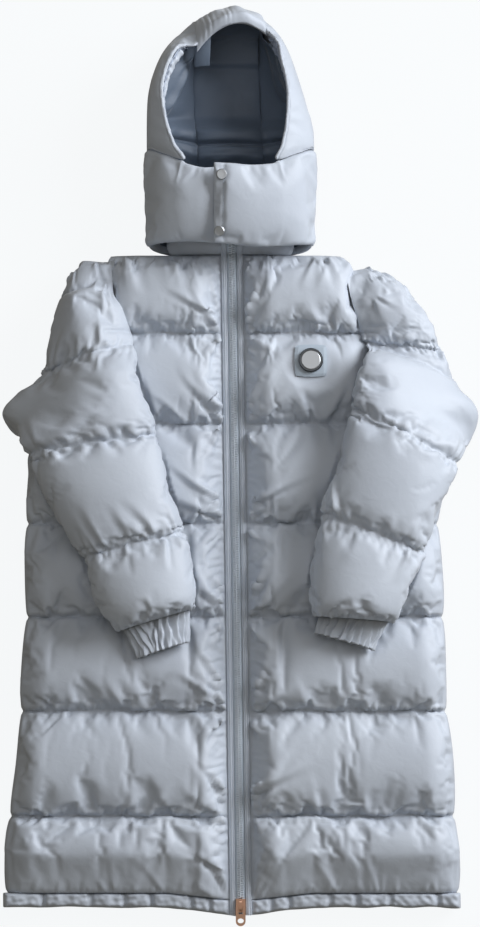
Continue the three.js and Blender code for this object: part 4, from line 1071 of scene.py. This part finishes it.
def hood_wall(at, share):
    return HOOD_WALL * hood_taper(at) * blend(1, 0.45, np.abs(2 * share - 1) ** 3)


def hood_grid(rows, columns, start=0.0, end=10.0, first=0.0, last=1.0):
    at = np.linspace(start, end, rows)[:, None] + np.zeros((1, columns))
    share = np.linspace(first, last, columns)[None, :] + np.zeros((rows, 1))
    return at, share


def hood_lift(side, at, share, lift, over=0.0):
    """Points inside the hood, that far from its outside and up to over past the crown strip's seam."""
    p = hood_point(side, at, share) + hood_inward(side, at, share) * lift[..., None]
    middle = hood_row("middle", at)
    p[..., 0] = middle + side * np.maximum(side * (p[..., 0] - middle), CROWN_HALF + PLY_GAP - over)
    return p


def low_filling(at):
    """The filling that has slid down behind the neck."""
    return smooth(4.6, 5.3, at) * smooth(7.4, 6.4, at) * (1 - 0.5 * np.exp(-(((at - 5.75) / 0.13) ** 2)))


def make_hood_side(side):
    at, share = hood_grid(HOOD_ROWS, 34)
    points = hood_point(side, at, share)
    held = np.zeros(at.shape)
    held[[0, -1], :] = 1
    held[:, [0, -1]] = 1
    held[points[..., 2] < 1.5] = 1
    return Quilting(f"hood{side}", points, held, growth=0.035, most=4), at, share


def make_lining(side):
    at, share = hood_grid(HOOD_ROWS, 30, 1, 9.9, 0, FACING_START)
    puff = np.where((share > 0.15) & (share < 0.72), fullness(HOOD_QUILT, at), 0)
    folds = 1.8 * ripple(at * 50, share * 150, 55, 101 + side) * smooth(0, 0.2, share)
    loose = smooth(1.1, 2.0, at) * smooth(4.8, 3.6, at)
    loose = loose * np.sin(np.pi * np.clip(share / FACING_START, 0, 1)) * (side < 0)
    low = low_filling(at) * smooth(0.62, 0.3, share)
    puff = LINING_PUFF * puff * smooth(0.15, 0.3, share)
    lift = hood_wall(at, share) + INSIDE_GAP + puff + LINING_THICK + folds
    lift = lift + 18 * low + 20 * loose
    p = hood_lift(side, at, share, lift, 24 * loose)
    p[..., 2] = np.maximum(p[..., 2], HOOD_WALL * 0.45 + INSIDE_GAP + 26 * low * smooth(0.3, 0.0, share))
    return p


def make_facing(side):
    at, share = hood_grid(110, 20, 0.5, 5.5, FACING_START, 1.0)
    over_lining = (INSIDE_WALL + INSIDE_GAP) * (1 - smooth(FACING_START, 0.8, share))
    lift = hood_wall(at, share) + INSIDE_GAP + over_lining
    crumple = 2.2 if side < 0 else 1.2
    free = smooth(0, 0.06, 1 - share)
    lift = lift + crumple * ripple(at * 50, share * 150, 26, 111 + side) * free
    lift = lift + crumple * 1.6 * np.maximum(0, ripple(at * 50, share * 60, 13, 115 + side)) * free
    return hood_lift(side, at, share, lift)


def make_roll(name, path, radius, crumple, seed, around=16):
    """A turned edge or a piping: a crumpled round roll of cloth along a path."""
    along = unit(np.gradient(path, axis=0))
    side_way = unit(np.cross(along, np.array([0.3, 0.2, 1.0])))
    up = np.cross(side_way, along)
    turn = np.linspace(0, 2 * np.pi, around, endpoint=False)[None, :]
    run = np.concatenate([[0], np.cumsum(np.linalg.norm(np.diff(path, axis=0), axis=1))])[:, None]
    fine = ripple(run, 11 * np.cos(turn), 6, seed + 1)
    uneven = 1 + crumple * ripple(run, 6 * turn, 14, seed) + 0.6 * crumple * fine
    ends = quarter_round(run / 5) * quarter_round((run[-1] - run) / 5)
    size = (np.asarray(radius)[:, None] * uneven * np.maximum(ends, 0.15))[..., None]
    ring = side_way[:, None] * np.cos(turn)[..., None] + up[:, None] * np.sin(turn)[..., None]
    piece = cloth_mesh(name, path[:, None] + ring * size, SHELL, tube=True, divide=0, closing="ends")
    on_coat(piece, "shell_fabric")


def make_forehead_band():
    """The crown strip's front edge, turned over and gathered at its right end."""
    v = np.linspace(-0.12, 1, 26)[:, None] + np.zeros((1, 90))
    share = np.linspace(-1.07, 1.02, 90)[None, :] + np.zeros((26, 1))
    at = 0.92 * np.clip(v, 0, 1)
    gathered = np.exp(-(((share + 0.78) / 0.24) ** 2)) + 0.5 * np.exp(-(((share + 0.1) / 0.16) ** 2))
    pleats = np.abs(np.sin(share * 21 + 1.5 * v)) - 0.5
    roll = 3.5 + 3.2 * np.sin(np.pi * np.clip(v * 1.1, 0, 1)) ** 0.6
    roll = roll + 2.6 * gathered * pleats * (1 - 0.7 * v)
    roll = roll + 1.6 * ripple(share * 48, v * 40, 30, 131)
    edge = np.minimum(quarter_round((v + 0.12) / 0.2), quarter_round((1 - v) / 0.12))
    edge = np.minimum(edge, quarter_round((1.02 - share) / 0.12) * 0.8 + 0.2)
    outer = crown_points(CROWN_HALF, at, share, -roll * edge + 5 * smooth(0.05, -0.12, v))
    outer[..., 1] -= 7 * smooth(0.08, -0.12, v)
    inner = crown_points(CROWN_HALF, at, share, 1.0 + 5 * smooth(0.05, -0.12, v))
    inner[..., 1] -= 5 * smooth(0.08, -0.12, v)
    return two_ply("turned_forehead_edge", outer, inner, SHELL, divide=0)


def make_loop_tab():
    """A plain tab of doubled cloth that hangs inside the hood."""
    u = np.linspace(-1, 1, 9)[None, :] + np.zeros((14, 1))
    v = np.linspace(0, 1, 14)[:, None] + np.zeros((1, 9))
    x = -53.5 + 11.5 * u - 2 * v
    y = 614 - 42 * v + 1.2 * u
    z = 84 - 16 * v + 3.5 * np.sin(3.0 * v) - 2.5 * u * u
    outer = np.stack([x, y, z], axis=-1)
    return two_ply("hanging_tab", outer, outer - np.array([0, 0, 1.4]), LINING_DARKENED_AS_PAINTED_SHADE, divide=1)


def crown_points(half, at, share, away):
    ahead, behind = np.minimum(at + 0.05, 10), np.maximum(at - 0.05, 0)
    y, z = hood_row("seamY", at), hood_row("seamZ", at)
    rises = [hood_row(name, ahead) - hood_row(name, behind) for name in ("seamY", "seamZ")]
    along = unit(np.stack(rises, axis=-1))
    least = np.where(away > 1, EDGE_THICK, 0)
    away = away - np.maximum(hood_row("bow", at), 0) * (1 - share * share)
    middle, lean = hood_row("middle", at), hood_row("lean", at)
    height = np.maximum(z - along[..., 0] * away, least)
    return np.stack([middle + share * half, y + share * lean + along[..., 1] * away, height], axis=-1)


def crown_wall(at, share):
    return HOOD_WALL * hood_taper(at) * blend(1, 0.6, np.abs(share) ** 4)


# Chin flaps
def chin_edge(side, edge, at):
    """The flap's top or low edge."""
    table = CHIN[side]
    places = list(range(len(table["x"])))
    x, y, z = (read(places, table[name], at) for name in ("x", edge + "Y", edge + "Z"))
    return np.stack([HOOD_X + x, y, z], axis=-1)


def chin_points(side, at, v):
    last = len(CHIN[side]["x"]) - 1
    corner = CHIN_CORNER - OPENING_END
    top, low = chin_edge(side, "top", at), chin_edge(side, "low", at)
    seamed = hood_point(side, np.clip(CHIN_CORNER - at, 0, 10), 1.0 + 0 * at) + CHIN_SEAM
    top = np.where((at <= corner)[..., None], seamed, top)
    place = top + (low - top) * v[..., None]
    side_seam = hood_point(side, blend(CHIN_CORNER, 10, v), 1.0 + 0 * v) + CHIN_SEAM
    place = np.where((at == 0)[..., None], side_seam, place)
    edge = np.minimum(np.sin(np.pi * np.clip(v, 0, 1)) ** 0.7, quarter_round((last - at) / 1.5))
    puffed = np.minimum(edge, quarter_round(at / 3))
    inward = to_neck_axis(place)
    outer = place - inward * (CHIN_PUFF * puffed)[..., None]
    return outer, outer + inward * blend(CHIN_EDGE_WALL, CHIN_WALL, puffed)[..., None]


def make_chin(side):
    at = np.linspace(0, 5, 46)[:, None] + np.zeros((1, 28))
    v = np.linspace(0, 1, 28)[None, :] + np.zeros((46, 1))
    outer, inner = chin_points(side, at, v)
    held = np.zeros(at.shape)
    held[[0, -1], :] = 1
    held[:, [0, -1]] = 1
    return Quilting(f"chin{side}", outer, held, growth=0.05, most=5), inner


# Collar
def collar_grid(start, end, columns, inset):
    y = np.linspace(COLLAR_Y[0], COLLAR_Y[-1], 14)[:, None]
    turn = np.radians(np.linspace(start, end, columns))[None, :]
    row = {name: read(COLLAR_Y, values, y) for name, values in COLLAR.items()}
    height = np.where(np.cos(turn) > 0, row["top"] - row["middle"], row["middle"] - row["bottom"])
    crease = 2.0 * ripple(turn * 80, y, 24, 121) * smooth(298, 306, y)
    x = HOOD_X + (row["half"] - inset + crease * (inset == 0)) * np.sin(turn)
    z = row["middle"] + (height - inset + crease * (inset == 0)) * np.cos(turn)
    return np.stack([x, y + 0 * turn, z], axis=-1)


def two_ply(name, outer, inner, material, tube=False, divide=1):
    """A padded wall between two grids, closed along its edges."""
    rows, columns = outer.shape[:2]
    maker = bmesh.new()
    lay = maker.loops.layers.uv.new("cloth")
    place = lengths(outer).reshape(-1, 2)
    sides = [[maker.verts.new(p * 0.001) for p in grid.reshape(-1, 3)] for grid in (outer, inner)]
    faces = grid_faces(rows, columns, tube)
    for corners in sides:
        for face in faces:
            made = maker.faces.new([corners[i] for i in face])
            for loop, i in zip(made.loops, face):
                loop[lay].uv = place[i]
    index = np.arange(rows * columns).reshape(rows, columns)
    loops = [index[0], index[-1]] + ([] if tube else [index[:, 0], index[:, -1]])
    for line in loops:
        pairs = list(zip(line, line[1:])) + ([(line[-1], line[0])] if tube else [])
        for a, b in pairs:
            maker.faces.new([sides[0][a], sides[0][b], sides[1][b], sides[1][a]])
    bmesh.ops.recalc_face_normals(maker, faces=maker.faces)
    piece = piece_from(maker, name, material)
    if divide:
        divided(piece, divide)
    apply_all(piece)
    for face in piece.data.polygons:
        face.use_smooth = True
    return piece


# Zip
def zip_seat(y):
    on_front = inside_z(y) + PLY_GAP + ZIP_SEAT
    on_collar = read(COLLAR_Y, COLLAR["top"], np.maximum(y, COLLAR_Y[0]))
    return np.where(y < NECK_Y, on_front, on_collar)


def zip_base(y):
    return zip_seat(y) + PLY_GAP + TAPE_CLIMB * smooth(NECK_Y - 30, NECK_Y - 4, y)


def strip_grid(profile, step=4.0, waves=0.0, seed=5):
    """A strip along the zip. profile gives distances from the zip's middle and heights over its seat."""
    y = np.linspace(ZIP_END_Y, ZIP_TOP_Y, round((ZIP_TOP_Y - ZIP_END_Y) / step))[:, None]
    x = np.array([p[0] for p in profile])[None, :]
    z = np.array([p[1] for p in profile])[None, :]
    rise = waves * np.maximum(0, ripple(y, x, 22, seed)) * (z > 0.3)
    return np.stack([zip_x(y) + x, y + 0 * x, zip_base(y) + z + rise], axis=-1)


def make_teeth():
    """Two rows of moulded teeth that mesh along the middle."""
    maker = bmesh.new()
    start, low = SLIDER_Y + SLIDER_HALF + PLY_GAP, TAPE_THICK + PLY_GAP
    for i in range(int((ZIP_TOP_Y - start) / TOOTH_PITCH)):
        for side in (-1, 1):
            y = start + (i + (0.5 if side > 0 else 0)) * TOOTH_PITCH + 0.9
            base = float(zip_base(y)) + low
            rows = []
            for x, drop, slant in ((side * CHAIN_HALF, 0.7, 0), (-side * 0.5, 0.0, 0.5)):
                x = float(zip_x(y)) + x
                corners = [(x, y + p + slant, base + max(0, q - drop)) for p, q in TOOTH_PROFILE]
                rows.append([maker.verts.new([v * 0.001 for v in corner]) for corner in corners])
            for k in range(5):
                maker.faces.new([rows[0][k], rows[1][k], rows[1][k + 1], rows[0][k + 1]])
            maker.faces.new(rows[0])
            maker.faces.new(rows[1][::-1])
    bmesh.ops.recalc_face_normals(maker, faces=maker.faces)
    return piece_from(maker, "zip_teeth", TEETH)


def make_stitches(name, lines, pitch=3.6, long=2.5, thick=0.42):
    """Rows of lockstitch: each stitch a short raised thread that dips into the cloth at both ends."""
    maker = bmesh.new()
    for line in lines:
        line = np.asarray(line, float)
        gone = np.concatenate([[0], np.cumsum(np.linalg.norm(np.diff(line, axis=0), axis=1))])
        for at in np.arange(pitch / 2, gone[-1] - long, pitch):
            spots = [[np.interp(at + s, gone, line[:, k]) for k in range(3)] for s in (0, long / 2, long)]
            a, m, b = (np.array(spot) for spot in spots)
            along = unit(b - a)
            across = unit(np.cross(along, [0, 0, 1]))
            rings = []
            for p, up, wide in ((a, -0.3, 0.6), (m, 0.35, 1), (b, -0.3, 0.6)):
                half = across * thick * wide
                corners = [p + half * c + np.array([0, 0, up + thick * s]) for c, s in THREAD_RING]
                rings.append([maker.verts.new(corner * 0.001) for corner in corners])
            for near, far in zip(rings, rings[1:]):
                for k in range(4):
                    beside = (k + 1) % 4
                    maker.faces.new([near[k], far[k], far[beside], near[beside]])
            maker.faces.new(rings[0])
            maker.faces.new(rings[2][::-1])
    bmesh.ops.recalc_face_normals(maker, faces=maker.faces)
    return piece_from(maker, name, THREAD)


def ply_top(x, y):
    return inside_z(y) + PLY_GAP


def ply_middle(x, y):
    return inside_z(y)


fronts = make_fronts()
sleeves = make_sleeves()
hood_sides = {side: make_hood_side(side) for side in (-1, 1)}
chins = {side: make_chin(side) for side in (-1, 1)}
fill_quilting()

SIDE_NAME = {-1: "right", 1: "left"}
for side, (quilting, *places) in fronts.items():
    shown = finish_front(side, quilting, *places)
    front = cloth_mesh(f"quilted_front_{SIDE_NAME[side]}", shown, SHELL, divide=0, closing=ply_top)
    on_coat(front, "shell_fabric", f"front_{SIDE_NAME[side]}")
    hem = cloth_mesh(f"hem_casing_{SIDE_NAME[side]}", make_hem_front(side), SHELL, closing=ply_top)
    on_coat(hem, "shell_fabric", f"hem_{SIDE_NAME[side]}")

back = cloth_mesh("quilted_back", make_back(), SHELL, divide=0, closing=ply_middle)
on_coat(back, "shell_fabric", "back_panel")
hem_back = cloth_mesh("hem_casing_back", make_hem_back(), SHELL, closing=ply_middle)
on_coat(hem_back, "shell_fabric", "hem_back")

for side, (quilting, at, turn) in sleeves.items():
    shown = finish_sleeve(side, quilting, at, turn)
    sleeve = cloth_mesh(f"quilted_sleeve_{SIDE_NAME[side]}", shown, SHELL, tube=True, divide=0)
    on_coat(sleeve, "shell_fabric", f"sleeve_{SIDE_NAME[side]}")
    cuff = cloth_mesh(f"gathered_cuff_{SIDE_NAME[side]}", make_cuff(side), SHELL, tube=True, divide=0)
    on_coat(cuff, "shell_fabric", f"cuff_{SIDE_NAME[side]}")

for side, (quilting, at, share) in hood_sides.items():
    inner = hood_lift(side, at, share, hood_wall(at, share))
    inner[..., 2] = np.maximum(inner[..., 2], EDGE_THICK)
    outer = quilting.points.copy()
    wide = np.abs(outer[..., 0] - HOOD_X)
    outer[..., 0] = HOOD_X + side * np.where(wide > HOOD_FREE, lower_of(wide, HOOD_FREE + 5, 4), wide)
    hood_side = two_ply(f"padded_hood_{SIDE_NAME[side]}", outer, inner, SHELL)
    on_coat(hood_side, "shell_fabric", f"hood_side_{SIDE_NAME[side]}")
    lining = cloth_mesh(f"hood_lining_cloth_{SIDE_NAME[side]}", make_lining(side), LINING_DARKENED_AS_PAINTED_SHADE, thick=LINING_THICK)
    on_coat(lining, "lining_fabric", f"hood_lining_{SIDE_NAME[side]}")
    facing = cloth_mesh(f"hood_facing_cloth_{SIDE_NAME[side]}", make_facing(side), FACING, thick=LINING_THICK)
    on_coat(facing, "shell_fabric", f"hood_facing_{SIDE_NAME[side]}")

at, share = hood_grid(HOOD_ROWS, 17, first=-1, last=1)
crown = two_ply("padded_hood_crown", crown_points(CROWN_HALF, at, share, 0 * at),
                crown_points(CROWN_HALF, at, share, crown_wall(at, share)), SHELL)
on_coat(crown, "shell_fabric", "hood_crown")
at, share = hood_grid(120, 21, 1, 9.9, first=-1, last=1)
folds = np.maximum(0, ripple(at * 50, share * 48, 40, 141))
seam_step = 7 * smooth(3.4, 3.3, at) * smooth(1, 2, at) + 2 * folds
lift = crown_wall(at, share) + INSIDE_GAP + 1.4 + seam_step + 24 * low_filling(at) * (1 - 0.25 * share**2)
inside_crown = crown_points(CROWN_HALF + 1.5, at, share, lift)
crown_lining = cloth_mesh("hood_lining_cloth_crown", inside_crown, LINING_DARKENED_AS_PAINTED_SHADE, thick=LINING_THICK)
on_coat(crown_lining, "lining_fabric", "hood_lining_crown")

forehead = make_forehead_band()
on_coat(forehead, "shell_fabric")
tab = make_loop_tab()
on_coat(tab, "lining_fabric")
rim_at = np.linspace(0.5, 6.0, 150)
for side, thick in ((-1, 3.0), (1, 2.3)):
    path = hood_point(side, rim_at, 1 + 0 * rim_at) + hood_inward(side, rim_at, 1 + 0 * rim_at) * 2.5
    make_roll(f"hood_edge_roll_{SIDE_NAME[side]}", path, thick + 0 * rim_at, 0.16, 151 + side)
rim_at = np.linspace(1.0, 4.6, 130)
inward = hood_inward(-1, rim_at, 0.9 + 0 * rim_at)
path = hood_point(-1, rim_at, 0.9 + 0 * rim_at) + inward * (hood_wall(rim_at, 0.9) + 4.5)[:, None]
make_roll("crumpled_inner_roll", path, 5.5 - 2.6 * smooth(1.2, 4.4, rim_at), 0.3, 161)

for side, (quilting, inner) in chins.items():
    outer = quilting.points.copy()
    if side > 0:
        outer[FLAP_SEAM, 1:-1, 2] -= FLAP_GROOVE
        seam = outer[FLAP_SEAM, 1:-1] + np.array([0, 0, 0.7])
        on_coat(make_stitches("flap_stitching", [seam]), "shell_fabric")
    flap = two_ply(f"padded_chin_flap_{SIDE_NAME[side]}", outer, inner, SHELL)
    on_coat(flap, "shell_fabric", f"chin_flap_{SIDE_NAME[side]}")

for name, start, end, columns in (("back", 91, 269, 40), ("right", -89, -1, 26), ("left", 1, 89, 26)):
    piece = two_ply(f"padded_collar_{name}", collar_grid(start, end, columns, 0.0),
                    collar_grid(start, end, columns, COLLAR_WALL), SHELL)
    on_coat(piece, "shell_fabric", f"collar_{name}")

TAPE_PROFILE = [(0.2, 0), (0.2, 0.8), (3.6, TAPE_THICK), (TAPE_HALF, TAPE_THICK), (TAPE_HALF, 0)]
PLACKET_PROFILE = [(PLACKET_NEAR, 0), (7.4, 2.2), (8.2, 3.0), (8.9, 2.9), (9.4, 2.0), (9.9, 2.9), (11.2, 3.2),
                   (12.6, 2.9), (13.2, 1.9), (13.8, 2.7), (14.9, 2.6), (15.5, 1.4), (PLACKET_FAR, 0)]
STITCH_ROWS = (9.4, 13.2)
STITCH_HEIGHT = 2.5
for side in (-1, 1):
    shape = [(side * x, z) for x, z in TAPE_PROFILE]
    tape = cloth_mesh(f"woven_tape_{SIDE_NAME[side]}", strip_grid(shape), TAPE, divide=0)
    on_coat(tape, "zip_tape", f"zip_tape_{SIDE_NAME[side]}")
    shape = [(side * x, z) for x, z in PLACKET_PROFILE]
    placket = cloth_mesh(f"stitched_placket_{SIDE_NAME[side]}", strip_grid(shape, 3.2, 0.7, 7 + side), SHELL)
    on_coat(placket, "shell_fabric", f"placket_{SIDE_NAME[side]}")
on_coat(make_teeth(), "zip_teeth", "zip_chain")
stitch_at = [(side * x, STITCH_HEIGHT) for side in (-1, 1) for x in STITCH_ROWS]
rows_of_thread = [strip_grid([place], 12.0)[:, 0] for place in stitch_at]
on_coat(make_stitches("placket_stitching", rows_of_thread), "shell_fabric")

SHOWN_AS_BUILT = {
    "slider_bottom": ROSE_GOLD,
    "pull_tab": ROSE_GOLD,
    "badge_patch": RUBBER,
    "badge_rim": GUNMETAL,
    "badge_disc": SATIN_METAL,
    "stud_upper": SATIN_METAL,
    "stud_lower": SATIN_METAL,
}
for name, material in SHOWN_AS_BUILT.items():
    for slot in nodes[name].material_slots:
        slot.material = material

# Floor, light and camera
LENS_DISTANCE = 4.7
VIEW_LEAN = 6.0
VIEW_HEIGHT = 1.352
VIEW_SHIFT = -0.002
FLOOR_HALF = 6


def made_stage():
    mesh = bpy.data.meshes.new("floor")
    corners = [(x * FLOOR_HALF, y * FLOOR_HALF, -0.001) for x, y in ((-1, -1), (1, -1), (1, 1), (-1, 1))]
    mesh.from_pydata(corners, [], [(0, 1, 2, 3)])
    floor = bpy.data.objects.new("floor", mesh)
    coat_scene.collection.objects.link(floor)
    material, tree, paper = finish_named("white paper")
    where = add_node(tree, "ShaderNodeTexCoord")
    grain = add_node(tree, "ShaderNodeTexNoise", [("Vector", where.outputs["Object"])], Scale=300.0)
    rough = add_node(tree, "ShaderNodeBump", [("Height", grain.outputs["Fac"])], Strength=0.02)
    tree.links.new(rough.outputs["Normal"], paper.inputs["Normal"])
    paper.inputs["Base Color"].default_value = linear("303234")
    paper.inputs["Roughness"].default_value = 0.9
    paper.inputs["Emission Color"].default_value = linear("F7F9FA")
    paper.inputs["Emission Strength"].default_value = 0.97
    floor.data.materials.append(material)
    floor.visible_diffuse = False
    floor.visible_glossy = False
    floor.visible_shadow = False
    # What the light that passes over the coat's sides comes back from: a dull board under the paper
    board = bpy.data.objects.new("board", mesh.copy())
    coat_scene.collection.objects.link(board)
    board.location.z = -0.003
    board.visible_camera = False
    material, _, wood = finish_named("dull board")
    wood.inputs["Base Color"].default_value = linear("8A8478")
    wood.inputs["Roughness"].default_value = 0.8
    board.data.materials.clear()
    board.data.materials.append(material)


def area_light(name, place, aim, width, height, power, colour):
    lamp = bpy.data.lights.new(name, "AREA")
    lamp.shape = "RECTANGLE"
    lamp.size, lamp.size_y, lamp.energy = width, height, power
    lamp.color = linear(colour)[:3]
    holder = bpy.data.objects.new(name, lamp)
    coat_scene.collection.objects.link(holder)
    holder.location = place
    holder.rotation_mode = "QUATERNION"
    holder.rotation_quaternion = (Vector(aim) - Vector(place)).to_track_quat("-Z", "Y")


def made_light():
    area_light("window", (3.3, 1.8, 1.95), (0, 0.05, 0), 2.4, 2.4, 236, "F6F9FF")
    area_light("soft fill", (-0.2, 0.9, 3.6), (0, 0, 0), 2.6, 2.6, 24, "F8F9FF")
    world = bpy.data.worlds.new("room")
    coat_scene.world = world
    world.use_nodes = True
    world.node_tree.nodes["Background"].inputs["Color"].default_value = linear("E6E0D2")
    world.node_tree.nodes["Background"].inputs["Strength"].default_value = 0.22


def made_camera():
    lens = bpy.data.cameras.new("camera")
    lens.sensor_width = 36
    lens.lens = 36 * LENS_DISTANCE / VIEW_HEIGHT
    camera = bpy.data.objects.new("camera", lens)
    coat_scene.collection.objects.link(camera)
    lean = math.radians(VIEW_LEAN)
    away = Vector((0, -LENS_DISTANCE * math.sin(lean), LENS_DISTANCE * math.cos(lean)))
    camera.location = away + Vector((0, VIEW_SHIFT, 0))
    camera.rotation_mode = "QUATERNION"
    camera.rotation_quaternion = (-away).to_track_quat("-Z", "Y")
    coat_scene.camera = camera


made_stage()
made_light()
made_camera()
coat_scene.view_settings.view_transform = "Standard"
